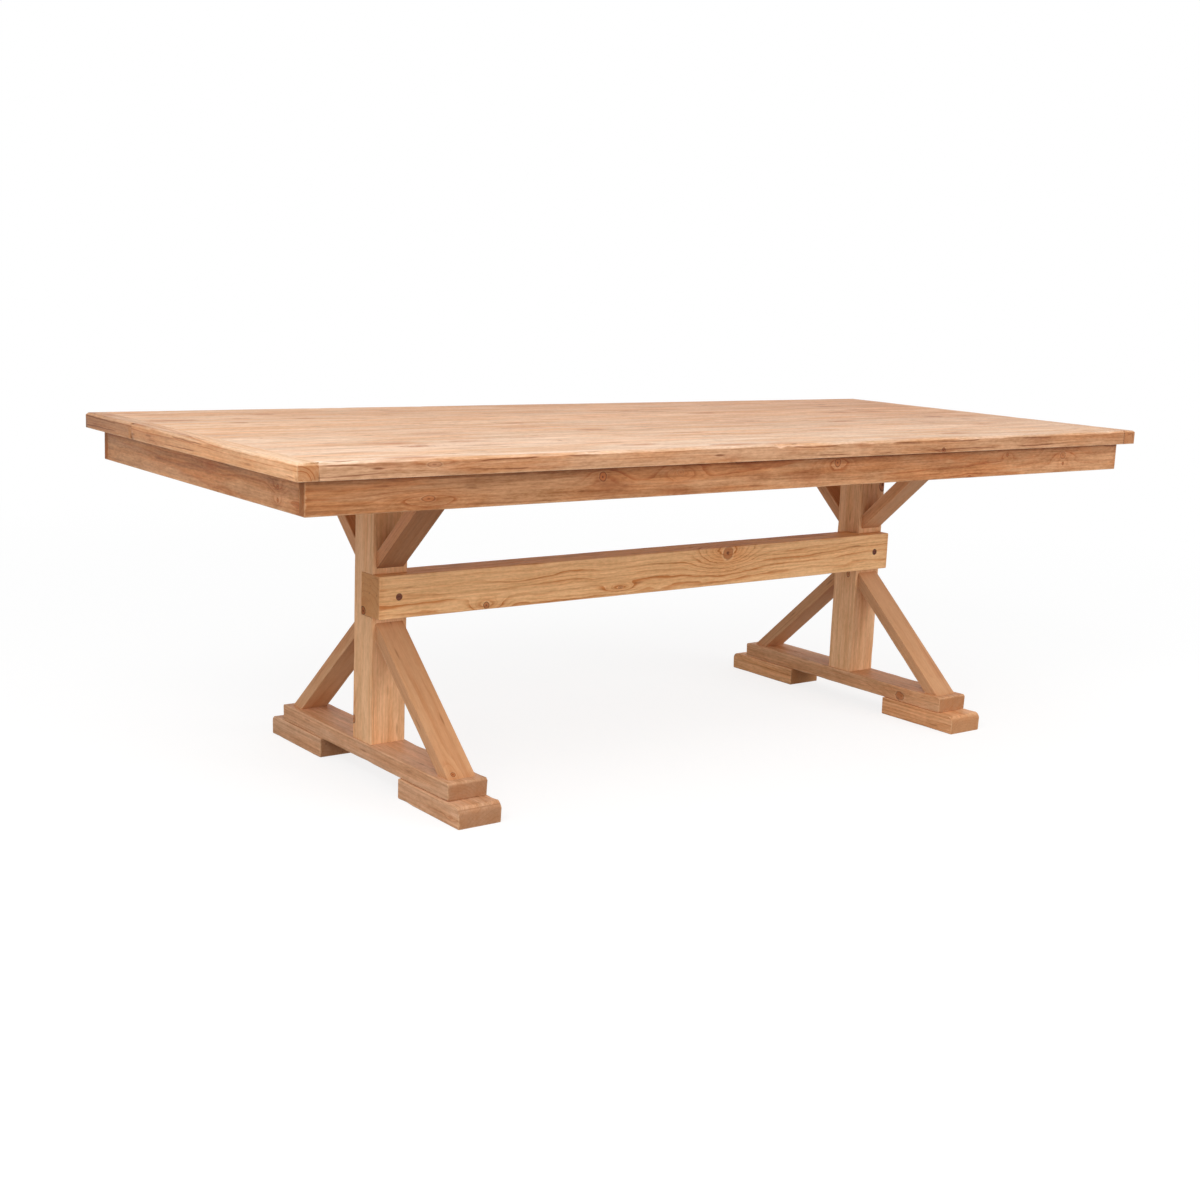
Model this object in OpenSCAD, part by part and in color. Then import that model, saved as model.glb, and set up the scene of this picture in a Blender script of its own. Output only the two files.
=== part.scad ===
// Trestle dining table: a plank top with an apron, on two braced post trestles tied by one stretcher.
// Millimetres, +Z up, X along the table, Y across it, -Y is the side that shows the stretcher.
// The origin is on the floor, under the middle of the top.

/* [Table] */
// Height of the top's surface over the floor
table_h = 770; // [640:5:930]
// Length of the top
top_l = 2400; // [2000:10:3000]
// Width of the top
top_w = 1020; // [850:5:1250]
// Distance between the middles of the two trestles
trestle_spacing = 1475; // [1200:5:1800]

/* [Planks] */
// Thickness of the planks and end strips
top_t = 34; // [30:1:42]
// Number of planks side by side
plank_count = 7; // [5:1:9]
// Height and width of the bevel round the top's upper edge
top_arris = 5; // [2:0.5:8]
// Width of the strips that close the planks' ends
end_strip_w = 42; // [34:1:60]
// Place across the table where the left end strip's two lengths meet
strip_butt_y = 245; // [-300:5:300]
// Thickness of the tongues on the planks
tongue_t = 10; // [8:1:12]
// Reach of the tongues along the planks' sides
side_tongue_l = 8; // [6:1:12]
// Reach of the tongues at the planks' ends
end_tongue_l = 15; // [10:1:20]
// Distance that the end tongues keep from the table's long edges
end_tongue_inset = 25; // [15:1:40]

/* [Apron] */
// Height of the apron boards
apron_h = 68; // [62:1:110]
// Thickness of the apron boards
apron_t = 22; // [20:1:30]
// Distance from the top's edge to the apron's outer face
apron_inset = 30; // [15:1:60]
// Width of the glue blocks in the corners
corner_block_w = 45; // [40:1:60]
// Height of the glue blocks in the corners
corner_block_h = 56; // [50:1:60]
// Bevel on the free corner of the glue blocks
corner_block_bevel = 18; // [5:1:22]

/* [Buttons] */
// Distance from the table's middle to the inner buttons on the long aprons
inner_button_x = 345; // [100:5:450]
// Distance from the end aprons to the outer buttons on the long aprons
outer_button_inset = 138; // [70:1:180]
// Length of a button away from the apron
button_l = 40; // [32:1:50]
// Width of a button along the apron
button_w = 36; // [28:1:45]
// Height of a button
button_h = 20; // [18:1:24]
// Height of the tongue on a button
button_tongue_h = 8; // [6:1:10]
// Reach of a button's tongue into the apron
button_tongue_l = 9; // [6:1:11]
// Gap between a button's shoulder and the apron
button_gap = 2; // [1:0.5:4]

/* [Batten] */
// Width of the batten under the middle of the planks
batten_w = 70; // [50:1:100]
// Height of the batten
batten_h = 28; // [22:1:40]
// Gap between the batten's or a bearer's end and the apron
cross_end_gap = 12; // [4:1:40]

/* [Trestle] */
// Width of a post along the table
post_w = 86; // [70:1:110]
// Depth of a post across the table
post_d = 80; // [75:1:110]
// Width of a bearer along the table
bearer_w = 80; // [72:1:100]
// Height of a bearer
bearer_h = 62; // [54:1:80]
// Length of the bevel on a bearer's ends
bearer_bevel = 30; // [5:1:60]
// Width of a foot beam along the table
beam_w = 96; // [76:1:110]
// Height of a foot beam
beam_h = 38; // [32:1:50]
// Length of a foot beam
beam_l = 738; // [620:2:880]
// Radius on the upper ends of a foot beam
beam_round = 7; // [2:1:14]
// Width of a foot pad along the table
pad_w = 104; // [80:1:120]
// Height of a foot pad
pad_h = 45; // [36:1:55]
// Length of a foot pad
pad_l = 243; // [200:1:280]
// Length over both foot pads
feet_l = 836; // [700:2:960]
// Radius on the upper outer edge of a foot pad
pad_round = 16; // [4:1:30]
// Side of the square tenons at the post's ends
post_tenon_w = 44; // [30:1:50]
// Reach of the post's tenon into the foot beam
foot_tenon_l = 24; // [18:1:28]
// Reach of the post's tenon into the bearer
head_tenon_l = 34; // [25:1:45]

/* [Braces] */
// Width of the braces along the table
brace_w = 68; // [55:1:72]
// Thickness of the braces
brace_t = 28; // [25:1:36]
// Slope of the upper braces
upper_brace_slope = 42; // [38:1:50]
// Distance from the stretcher's top up to the upper braces
upper_brace_gap = 13; // [2:1:40]
// Distance from the stretcher's underside down to the lower braces
lower_brace_gap = 12; // [1:1:40]
// Distance from the lower braces' feet to the foot beam's ends
brace_foot_inset = 22; // [10:1:60]
// Diameter of the dowels at the braces' ends
dowel_d = 10; // [6:1:10]
// Length of the dowels
dowel_l = 40; // [30:1:44]

/* [Stretcher] */
// Height of the stretcher board
stretcher_h = 95; // [75:1:115]
// Thickness of the stretcher board
stretcher_t = 77; // [62:1:90]
// How far the stretcher stands in front of the posts
stretcher_proud = 28; // [15:1:32]
// Height of the stretcher's upper face over the floor
stretcher_top = 462; // [400:1:520]
// Distance from the stretcher's ends to its bolts
bolt_inset = 50; // [30:1:60]

/* [Fasteners] */
// Diameter of the bolts that hold the stretcher
bolt_d = 8; // [6:1:10]
// Diameter of the bolts' round heads
bolt_head_d = 13; // [12:0.5:14]
// Height of the bolts' heads
bolt_head_h = 8; // [5:0.5:9]
// Size of the nuts across the flats
nut_flats = 13; // [12:0.5:14]
// Height of the nuts
nut_h = 6.5; // [5:0.5:8]
// Diameter of the plugs and of the holes that they close
plug_d = 16; // [16:0.5:22]
// Thickness of the plugs over the bolt heads
front_plug_t = 9; // [5:0.5:12]
// Thickness of the plugs over the nuts
back_plug_t = 6; // [4:0.5:8]
// Diameter of the countersunk screws
screw_d = 5; // [4:0.5:5]
// Diameter of their heads
screw_head_d = 10; // [8:0.5:10]
// Length of the screws through the foot pads
pad_screw_l = 62; // [58:1:68]
// Length of the screws through the batten
batten_screw_l = 45; // [40:1:50]
// Length of the screws through the buttons
button_screw_l = 32; // [30:1:36]
// Length of the screws through the corner blocks
corner_screw_l = 45; // [42:1:48]
// Diameter of the coach screws through the bearers
coach_d = 8; // [6:1:8]
// Length of the coach screws
coach_l = 60; // [55:1:64]
// Size of the coach screws' heads across the flats
coach_flats = 13; // [12:0.5:14]
// Height of the coach screws' heads
coach_head_h = 5.5; // [4:0.5:7]
// Diameter of the washers under the coach screws' heads
coach_washer_d = 20; // [18:0.5:22]
// Thickness of all washers
washer_t = 1.6; // [1:0.2:2]

/* [Fits] */
// Gap round tongues, tenons and dowels, on each side
joint_gap = 0.2; // [0.1:0.05:0.4]
// Gap at the end of tongues, tenons and dowels
end_gap = 0.5; // [0.3:0.1:1]
// Gap round screws, bolts, nuts and plugs, on each side
hole_gap = 0.15; // [0.1:0.05:0.3]

/* [Hidden] */
$fn = 48;
// How far a cut runs past the face that it opens
cut = 1;

PLANKS = [for (i = [1:plank_count]) str("top_plank_", i)];

// Colours
pine_light = [0.85, 0.70, 0.53];
pine = [0.80, 0.62, 0.43];
pine_warm = [0.74, 0.54, 0.36];
beech = [0.78, 0.63, 0.46];
plug_wood = [0.38, 0.20, 0.13];
steel = [0.70, 0.71, 0.73];

// Sides of the table: -1 is left or front, 1 is right or back
SIDES = [-1, 1];

// Heights
top_z0 = table_h - top_t;
top_mid_z = table_h - top_t / 2;
apron_z0 = top_z0 - apron_h;
bearer_z0 = top_z0 - bearer_h;
beam_z0 = pad_h;
beam_z1 = beam_z0 + beam_h;
stretcher_z0 = stretcher_top - stretcher_h;
stretcher_mid_z = stretcher_top - stretcher_h / 2;

// Planks: the inner ones are a whole number of millimetres wide, and the two outer ones share the rest.
// Plank i runs from plank_y0(i) to plank_y0(i + 1).
inner_plank_w = round(top_w / plank_count);
outer_plank_w = (top_w - (plank_count - 2) * inner_plank_w) / 2;
plank_half_l = top_l / 2 - end_strip_w;
function plank_y0(i) =
    i == 1 ? -top_w / 2 :
    i > plank_count ? top_w / 2 :
    -top_w / 2 + outer_plank_w + (i - 2) * inner_plank_w;
function plank_y(i) = (plank_y0(i) + plank_y0(i + 1)) / 2;
// End tongues of neighbours keep this distance from their common seam
seam_clear = 1;

// Aprons
apron_out_x = top_l / 2 - apron_inset;
apron_out_y = top_w / 2 - apron_inset;
apron_in_x = apron_out_x - apron_t;
apron_in_y = apron_out_y - apron_t;
cross_half_l = apron_in_y - cross_end_gap;

// Trestles
trestle_x = trestle_spacing / 2;
pad_out_y = feet_l / 2;
pad_in_y = pad_out_y - pad_l;

// Stretcher and its bolts, from the front face to the back of the post
stretcher_half_l = trestle_x + post_w / 2;
stretcher_y0 = -post_d / 2 - stretcher_proud;
stretcher_y1 = stretcher_y0 + stretcher_t;
bolt_x = stretcher_half_l - bolt_inset;
// Gap between a plug and the bolt behind it, and how far the bolt's end passes its nut
plug_slack = 0.5;
bolt_end_past_nut = 0.5;
head_y0 = stretcher_y0 + front_plug_t + plug_slack;
head_y1 = head_y0 + bolt_head_h;
front_seat_y = head_y1 + washer_t;
bolt_end_y = post_d / 2 - back_plug_t - plug_slack;
nut_y1 = bolt_end_y - bolt_end_past_nut;
nut_y0 = nut_y1 - nut_h;
back_seat_y = nut_y0 - washer_t;
bolt_washer_d = plug_d - 2 * hole_gap;

// Upper brace: its lower edge from the post to the bearer, and the slope
upper_low_z = stretcher_top + upper_brace_gap;
upper_out_y = post_d / 2 + (bearer_z0 - upper_low_z) / tan(upper_brace_slope);
// Lower brace: its outer edge from the post down to the foot beam, and the slope
lower_high_z = stretcher_z0 - lower_brace_gap;
lower_out_y = beam_l / 2 - brace_foot_inset;
lower_slope = atan2(lower_high_z - beam_z1, lower_out_y - post_d / 2);

// Heights at which the braces' dowels enter the post, and places where they enter the bearer and beam.
// Each dowel is set off by half of what the brace moves over the dowel's depth.
dowel_depth = dowel_l / 2;
upper_post_dowel_z = upper_low_z + brace_t / cos(upper_brace_slope) / 2
    + dowel_depth * tan(upper_brace_slope) / 2;
upper_bearer_dowel_y = upper_out_y - brace_t / sin(upper_brace_slope) / 2
    - dowel_depth / tan(upper_brace_slope) / 2;
lower_post_dowel_z = lower_high_z - brace_t / cos(lower_slope) / 2 - dowel_depth * tan(lower_slope) / 2;
lower_beam_dowel_y = lower_out_y - brace_t / sin(lower_slope) / 2 - dowel_depth / tan(lower_slope) / 2;

// Screws through the foot pads, set off from the beam's middle line and clear of each other
pad_screw_recess = 3;
pad_screw_x = beam_w / 4;
pad_screw_end = 40;
pad_screw_y = [pad_in_y + pad_screw_end, beam_l / 2 - pad_screw_end];
// Coach screws through the bearers, one in each plank that is clear of the post and the bearer's ends.
// Their tips stop this far over the planks' middle plane, and short of the holes' ends.
coach_past_mid = 4;
coach_tip = 1;
coach_recess = bearer_h + top_t / 2 + coach_past_mid - coach_l;
coach_x = bearer_w / 4;
// The recess for a washer is wider than the washer by this much
coach_hole_room = 4;
coach_hole_d = coach_washer_d + coach_hole_room;
coach_y = [for (i = [1:plank_count]) let (y = plank_y(i))
    if (abs(y) > post_d / 2 + coach_hole_d / 2 && abs(y) < cross_half_l - bearer_bevel - coach_hole_d / 2) y];
coach_places = [for (sx = SIDES, n = [0:len(coach_y) - 1])
    [sx * trestle_x + (n % 2 == 0 ? -coach_x : coach_x), coach_y[n]]];
// Batten screws, one in each plank that is clear of the batten's ends
batten_screw_y = [for (i = [1:plank_count]) let (y = plank_y(i))
    if (abs(y) < cross_half_l - 2 * screw_head_d) y];
// Buttons: place on the apron's inner face and the direction that the button points in
button_end_y = abs(plank_y(2));
button_places = concat(
    [for (sx = SIDES, sy = SIDES, x = [inner_button_x, apron_in_x - outer_button_inset])
        [sx * x, sy * apron_in_y, sy * 90]],
    [for (sx = SIDES, sy = SIDES) [sx * apron_in_x, sy * button_end_y, sx > 0 ? 0 : 180]]);
button_tongue_z = top_z0 - button_h;
// Screws of the corner blocks
corner_screw_in = (corner_block_w - corner_block_bevel) / 2;
corner_screw_recess = corner_block_w + apron_t * 2 / 3 - corner_screw_l;
corner_screw_low = corner_block_h / 3;
corner_screw_high = corner_block_h * 2 / 3;

// Box from one corner to the opposite one
module block(from, to) {
    translate(from) cube(to - from);
}

// Flat outline in Y and Z, carried along X by the given width and centred on X
module across(width) {
    rotate([90, 0, 90]) linear_extrude(width, center = true) children();
}

// Cylinder along Y from one y to another
module rod_y(y0, y1, d) {
    translate([0, y0, 0]) rotate([-90, 0, 0]) cylinder(h = y1 - y0, d = d);
}

// Ring with a hole through it
module washer(outer_d, hole_d, t) {
    difference() {
        cylinder(h = t, d = outer_d);
        translate([0, 0, -cut]) cylinder(h = t + 2 * cut, d = hole_d);
    }
}

// Countersunk screw that points up, with the top of its head at z = 0
module screw(length) {
    head_h = (screw_head_d - screw_d) / 2;
    tip_h = screw_d;
    cylinder(h = head_h, d1 = screw_head_d, d2 = screw_d);
    translate([0, 0, head_h]) cylinder(h = length - head_h - tip_h, d = screw_d);
    translate([0, 0, length - tip_h]) cylinder(h = tip_h, d1 = screw_d, d2 = screw_d / 4);
}

// Hole for that screw, open below its head by the recess
module screw_hole(length, recess) {
    head_h = (screw_head_d - screw_d) / 2;
    hole_d = screw_d + 2 * hole_gap;
    head_hole_d = screw_head_d + 2 * hole_gap;
    translate([0, 0, -recess - cut]) cylinder(h = recess + cut, d = head_hole_d);
    cylinder(h = head_h, d1 = head_hole_d, d2 = hole_d);
    translate([0, 0, head_h - hole_gap]) cylinder(h = length - head_h + hole_gap + end_gap, d = hole_d);
}

// Outer shape of the whole top, with the bevel round its upper edge
module top_shape() {
    bevelled = function(half) [
        [-half, top_z0], [half, top_z0], [half, table_h - top_arris],
        [half - top_arris, table_h], [top_arris - half, table_h], [-half, table_h - top_arris]
    ];
    intersection() {
        across(top_l) polygon(bevelled(top_w / 2));
        rotate([90, 0, 0]) linear_extrude(top_w, center = true) polygon(bevelled(top_l / 2));
    }
}

// Pilot holes in the planks for every screw that comes up from below, between two places across the table
module plank_pilots(y0, y1) {
    for (p = coach_places) if (p[1] > y0 && p[1] < y1) translate([p[0], p[1], bearer_z0 + coach_recess])
        cylinder(h = coach_l + end_gap, d = coach_d + 2 * hole_gap);
    for (y = batten_screw_y) if (y > y0 && y < y1) translate([0, y, top_z0 - batten_h])
        screw_hole(batten_screw_l, 0);
    for (b = button_places) place_button(b) translate([button_gap + button_l / 2, 0, 0])
        let (y = b[1] - (b[2] % 180 == 0 ? 0 : sign(b[1]) * (button_gap + button_l / 2)))
        if (y > y0 && y < y1) screw_hole(button_screw_l, 0);
}

// One plank, with a tongue on its back side and a groove on its front side, and a tongue at each end
module top_plank(i) {
    y0 = plank_y0(i);
    y1 = plank_y0(i + 1);
    first = i == 1;
    last = i == plank_count;
    groove_h = tongue_t + 2 * joint_gap;
    color(i % 2 == 0 ? pine : pine_light) difference() {
        union() {
            intersection() {
                block([-plank_half_l, y0, top_z0], [plank_half_l, y1, table_h]);
                top_shape();
            }
            if (!last) block([-plank_half_l, y1 - cut, top_mid_z - tongue_t / 2],
                [plank_half_l, y1 + side_tongue_l, top_mid_z + tongue_t / 2]);
            block([-plank_half_l - end_tongue_l, y0 + (first ? end_tongue_inset : seam_clear),
                    top_mid_z - tongue_t / 2],
                [plank_half_l + end_tongue_l, y1 - (last ? end_tongue_inset : seam_clear),
                    top_mid_z + tongue_t / 2]);
        }
        if (!first) block([-plank_half_l - end_tongue_l - cut, y0 - cut, top_mid_z - groove_h / 2],
            [plank_half_l + end_tongue_l + cut, y0 + side_tongue_l + end_gap, top_mid_z + groove_h / 2]);
        plank_pilots(y0, y1);
    }
}

// Strip across the planks' ends, between two places across the table
module end_strip(side, y0, y1) {
    groove_h = tongue_t + 2 * joint_gap;
    groove_y = top_w / 2 - end_tongue_inset + end_gap;
    color(pine_warm) mirror([side < 0 ? 1 : 0, 0, 0]) difference() {
        intersection() {
            block([plank_half_l, y0, top_z0], [top_l / 2, y1, table_h]);
            top_shape();
        }
        block([plank_half_l - cut, -groove_y, top_mid_z - groove_h / 2],
            [plank_half_l + end_tongue_l + end_gap, groove_y, top_mid_z + groove_h / 2]);
    }
}

// Puts children at a button's place: X away from the apron's inner face, z = 0 at the button's underside
module place_button(b) {
    translate([b[0], b[1], button_tongue_z]) rotate([0, 0, b[2] + 180]) children();
}

// Slots in the aprons for the buttons' tongues
module button_slots() {
    half_w = button_w / 2 + cut;
    for (b = button_places) place_button(b)
        block([-button_tongue_l - end_gap, -half_w, -joint_gap],
            [cut, half_w, button_tongue_h + joint_gap]);
}

module apron_buttons() {
    color(beech) for (b = button_places) place_button(b) difference() {
        union() {
            block([button_gap, -button_w / 2, 0], [button_gap + button_l, button_w / 2, button_h]);
            block([-button_tongue_l, -button_w / 2, 0], [button_gap + cut, button_w / 2, button_tongue_h]);
        }
        translate([button_gap + button_l / 2, 0, 0]) screw_hole(button_screw_l, 0);
    }
}

module button_screws() {
    color(steel) for (b = button_places) place_button(b)
        translate([button_gap + button_l / 2, 0, 0]) screw(button_screw_l);
}

// Puts children at a corner block: its apron corner is the origin, and it lies towards +X and +Y
module place_corner(sx, sy) {
    translate([sx * apron_in_x, sy * apron_in_y, top_z0 - corner_block_h])
        mirror([sx > 0 ? 1 : 0, 0, 0]) mirror([0, sy > 0 ? 1 : 0, 0]) children();
}

// Puts children at the block's screw into the long apron and at its screw into the end apron
module place_corner_screws() {
    start = corner_block_w - corner_screw_recess;
    translate([corner_screw_in, start, corner_screw_low]) rotate([90, 0, 0]) children();
    translate([start, corner_screw_in, corner_screw_high]) rotate([0, -90, 0]) children();
}

module corner_block(sx, sy) {
    w = corner_block_w;
    flat = w - corner_block_bevel;
    color(beech) place_corner(sx, sy) difference() {
        linear_extrude(corner_block_h) polygon([[0, 0], [w, 0], [w, flat], [flat, w], [0, w]]);
        place_corner_screws() screw_hole(corner_screw_l, corner_screw_recess);
    }
}

module corner_pilots() {
    for (sx = SIDES, sy = SIDES) place_corner(sx, sy)
        place_corner_screws() screw_hole(corner_screw_l, corner_screw_recess);
}

module corner_screws() {
    color(steel) for (sx = SIDES, sy = SIDES) place_corner(sx, sy)
        place_corner_screws() screw(corner_screw_l);
}

module long_apron(sy) {
    color(pine) difference() {
        mirror([0, sy < 0 ? 1 : 0, 0])
            block([-apron_out_x, apron_in_y, apron_z0], [apron_out_x, apron_out_y, top_z0]);
        button_slots();
        corner_pilots();
    }
}

module end_apron(sx) {
    color(pine_warm) difference() {
        mirror([sx < 0 ? 1 : 0, 0, 0])
            block([apron_in_x, -apron_in_y, apron_z0], [apron_out_x, apron_in_y, top_z0]);
        button_slots();
        corner_pilots();
    }
}

module centre_batten() {
    color(pine) difference() {
        block([-batten_w / 2, -cross_half_l, top_z0 - batten_h], [batten_w / 2, cross_half_l, top_z0]);
        for (y = batten_screw_y) translate([0, y, top_z0 - batten_h]) screw_hole(batten_screw_l, 0);
    }
}

module batten_screws() {
    color(steel) for (y = batten_screw_y) translate([0, y, top_z0 - batten_h]) screw(batten_screw_l);
}

// Dowels at both ends of the upper and lower brace on the back side of one trestle
module side_dowels(grow_d, grow_l) {
    d = dowel_d + grow_d;
    half = dowel_l / 2 + grow_l;
    for (z = [upper_post_dowel_z, lower_post_dowel_z])
        translate([0, 0, z]) rod_y(post_d / 2 - half, post_d / 2 + half, d);
    for (p = [[upper_bearer_dowel_y, bearer_z0], [lower_beam_dowel_y, beam_z1]])
        translate([0, p[0], p[1] - half]) cylinder(h = 2 * half, d = d);
}

module dowel_holes() {
    for (sy = SIDES) mirror([0, sy < 0 ? 1 : 0, 0]) side_dowels(2 * joint_gap, end_gap);
}

module brace_dowels() {
    color(beech) for (sx = SIDES, sy = SIDES)
        translate([sx * trestle_x, 0, 0]) mirror([0, sy < 0 ? 1 : 0, 0]) side_dowels(0, 0);
}

// Holes for the stretcher's bolt, its head and nut, and the plugs over them
module bolt_holes() {
    for (sx = SIDES) translate([sx * bolt_x, 0, stretcher_mid_z]) {
        rod_y(stretcher_y0 - cut, post_d / 2 + cut, bolt_d + 2 * hole_gap);
        rod_y(stretcher_y0 - cut, front_seat_y, plug_d + 2 * hole_gap);
        rod_y(back_seat_y, post_d / 2 + cut, plug_d + 2 * hole_gap);
    }
}

module post(side) {
    half_tenon = post_tenon_w / 2;
    color(pine_light) difference() {
        translate([side * trestle_x, 0, 0]) difference() {
            union() {
                block([-post_w / 2, -post_d / 2, beam_z1], [post_w / 2, post_d / 2, bearer_z0]);
                block([-half_tenon, -half_tenon, beam_z1 - foot_tenon_l],
                    [half_tenon, half_tenon, bearer_z0 + head_tenon_l]);
            }
            block([-post_w / 2 - cut, -post_d / 2 - cut, stretcher_z0],
                [post_w / 2 + cut, stretcher_y1, stretcher_top + joint_gap]);
            dowel_holes();
        }
        bolt_holes();
    }
}

module bearer(side) {
    half_mortise = post_tenon_w / 2 + joint_gap;
    end = cross_half_l;
    color(pine) difference() {
        translate([side * trestle_x, 0, 0]) difference() {
            across(bearer_w) polygon([
                [bearer_bevel - end, bearer_z0], [end - bearer_bevel, bearer_z0],
                [end, bearer_z0 + bearer_bevel], [end, top_z0],
                [-end, top_z0], [-end, bearer_z0 + bearer_bevel]
            ]);
            block([-half_mortise, -half_mortise, bearer_z0 - cut],
                [half_mortise, half_mortise, bearer_z0 + head_tenon_l + end_gap]);
            dowel_holes();
        }
        for (p = coach_places) translate([p[0], p[1], bearer_z0]) {
            translate([0, 0, -cut]) cylinder(h = bearer_h + 2 * cut, d = coach_d + 2 * hole_gap);
            translate([0, 0, -cut]) cylinder(h = coach_recess + cut, d = coach_hole_d);
        }
    }
}

module bearer_screws() {
    color(steel) for (p = coach_places) translate([p[0], p[1], bearer_z0 + coach_recess - washer_t]) {
        translate([0, 0, -coach_head_h]) cylinder(h = coach_head_h, d = coach_flats / cos(30), $fn = 6);
        cylinder(h = washer_t + coach_l - coach_d - coach_tip, d = coach_d);
        translate([0, 0, washer_t + coach_l - coach_d - coach_tip])
            cylinder(h = coach_d, d1 = coach_d, d2 = coach_d / 4);
    }
}

module bearer_washers() {
    color(steel) for (p = coach_places) translate([p[0], p[1], bearer_z0 + coach_recess - washer_t])
        washer(coach_washer_d, coach_d + 2 * hole_gap, washer_t);
}

module foot_beam(side) {
    half_mortise = post_tenon_w / 2 + joint_gap;
    end = beam_l / 2;
    color(pine) translate([side * trestle_x, 0, 0]) difference() {
        across(beam_w) union() {
            translate([-end, beam_z0]) square([beam_l, beam_h - beam_round]);
            translate([beam_round - end, beam_z0]) square([beam_l - 2 * beam_round, beam_h]);
            for (sy = SIDES) translate([sy * (end - beam_round), beam_z1 - beam_round]) circle(beam_round);
        }
        block([-half_mortise, -half_mortise, beam_z1 - foot_tenon_l - end_gap],
            [half_mortise, half_mortise, beam_z1 + cut]);
        dowel_holes();
        place_pad_screws() screw_hole(pad_screw_l, 0);
    }
}

// Puts children at the four screws of one trestle's foot pads
module place_pad_screws() {
    for (sy = SIDES, n = [0, 1])
        translate([(n == 0 ? -1 : 1) * pad_screw_x, sy * pad_screw_y[n], pad_screw_recess]) children();
}

module foot_pad(side, sy) {
    color(pine_warm) translate([side * trestle_x, 0, 0]) difference() {
        mirror([0, sy < 0 ? 1 : 0, 0]) across(pad_w) union() {
            translate([pad_in_y, 0]) square([pad_l, pad_h - pad_round]);
            translate([pad_in_y, 0]) square([pad_l - pad_round, pad_h]);
            translate([pad_out_y - pad_round, pad_h - pad_round]) circle(pad_round);
        }
        place_pad_screws() screw_hole(pad_screw_l, pad_screw_recess);
    }
}

module pad_screws() {
    color(steel) for (sx = SIDES) translate([sx * trestle_x, 0, 0]) place_pad_screws() screw(pad_screw_l);
}

// A brace from its outline on the back side, put on the side asked for, with its dowel holes
module brace(side, sy, outline) {
    translate([side * trestle_x, 0, 0]) mirror([0, sy < 0 ? 1 : 0, 0]) difference() {
        across(brace_w) polygon(outline);
        side_dowels(2 * joint_gap, end_gap);
    }
}

module upper_brace(side, sy) {
    color(pine_warm) brace(side, sy, [
        [post_d / 2, upper_low_z],
        [upper_out_y, bearer_z0],
        [upper_out_y - brace_t / sin(upper_brace_slope), bearer_z0],
        [post_d / 2, upper_low_z + brace_t / cos(upper_brace_slope)]
    ]);
}

module lower_brace(side, sy) {
    color(pine_warm) brace(side, sy, [
        [post_d / 2, lower_high_z],
        [lower_out_y, beam_z1],
        [lower_out_y - brace_t / sin(lower_slope), beam_z1],
        [post_d / 2, lower_high_z - brace_t / cos(lower_slope)]
    ]);
}

module stretcher() {
    color(pine) difference() {
        block([-stretcher_half_l, stretcher_y0, stretcher_z0],
            [stretcher_half_l, stretcher_y1, stretcher_top]);
        bolt_holes();
    }
}

module stretcher_bolts() {
    color(steel) for (sx = SIDES) translate([sx * bolt_x, 0, stretcher_mid_z]) {
        rod_y(head_y0, head_y1, bolt_head_d);
        rod_y(head_y1, bolt_end_y, bolt_d);
    }
}

module stretcher_washers() {
    color(steel) for (sx = SIDES, y = [head_y1, back_seat_y])
        translate([sx * bolt_x, y, stretcher_mid_z]) rotate([-90, 0, 0])
            washer(bolt_washer_d, bolt_d + 2 * hole_gap, washer_t);
}

module stretcher_nuts() {
    color(steel) for (sx = SIDES) translate([sx * bolt_x, nut_y0, stretcher_mid_z]) rotate([-90, 0, 0])
        difference() {
            cylinder(h = nut_h, d = nut_flats / cos(30), $fn = 6);
            translate([0, 0, -cut]) cylinder(h = nut_h + 2 * cut, d = bolt_d + 2 * hole_gap);
        }
}

module front_plugs() {
    color(plug_wood) for (sx = SIDES) translate([sx * bolt_x, 0, stretcher_mid_z])
        rod_y(stretcher_y0, stretcher_y0 + front_plug_t, plug_d);
}

module back_plugs() {
    color(plug_wood) for (sx = SIDES) translate([sx * bolt_x, 0, stretcher_mid_z])
        rod_y(post_d / 2 - back_plug_t, post_d / 2, plug_d);
}

for (i = [1:plank_count]) top_plank(i);
end_strip(1, -top_w / 2, top_w / 2);  // end_strip_right
end_strip(-1, -top_w / 2, strip_butt_y);  // end_strip_left_front
end_strip(-1, strip_butt_y, top_w / 2);  // end_strip_left_back
long_apron(-1);  // apron_front
long_apron(1);  // apron_back
end_apron(-1);  // apron_left
end_apron(1);  // apron_right
corner_block(-1, -1);  // corner_block_front_left
corner_block(1, -1);  // corner_block_front_right
corner_block(-1, 1);  // corner_block_back_left
corner_block(1, 1);  // corner_block_back_right
corner_screws();
apron_buttons();
button_screws();
centre_batten();
batten_screws();
bearer(-1);  // bearer_left
bearer(1);  // bearer_right
bearer_screws();
bearer_washers();
post(-1);  // post_left
post(1);  // post_right
foot_beam(-1);  // foot_beam_left
foot_beam(1);  // foot_beam_right
foot_pad(-1, -1);  // foot_pad_front_left
foot_pad(-1, 1);  // foot_pad_back_left
foot_pad(1, -1);  // foot_pad_front_right
foot_pad(1, 1);  // foot_pad_back_right
pad_screws();
upper_brace(-1, -1);  // upper_brace_front_left
upper_brace(-1, 1);  // upper_brace_back_left
upper_brace(1, -1);  // upper_brace_front_right
upper_brace(1, 1);  // upper_brace_back_right
lower_brace(-1, -1);  // lower_brace_front_left
lower_brace(-1, 1);  // lower_brace_back_left
lower_brace(1, -1);  // lower_brace_front_right
lower_brace(1, 1);  // lower_brace_back_right
brace_dowels();
stretcher();
stretcher_bolts();
stretcher_washers();
stretcher_nuts();
front_plugs();
back_plugs();
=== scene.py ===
import math
import random

import bmesh
import bpy
from mathutils import Matrix, Vector, noise


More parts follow.
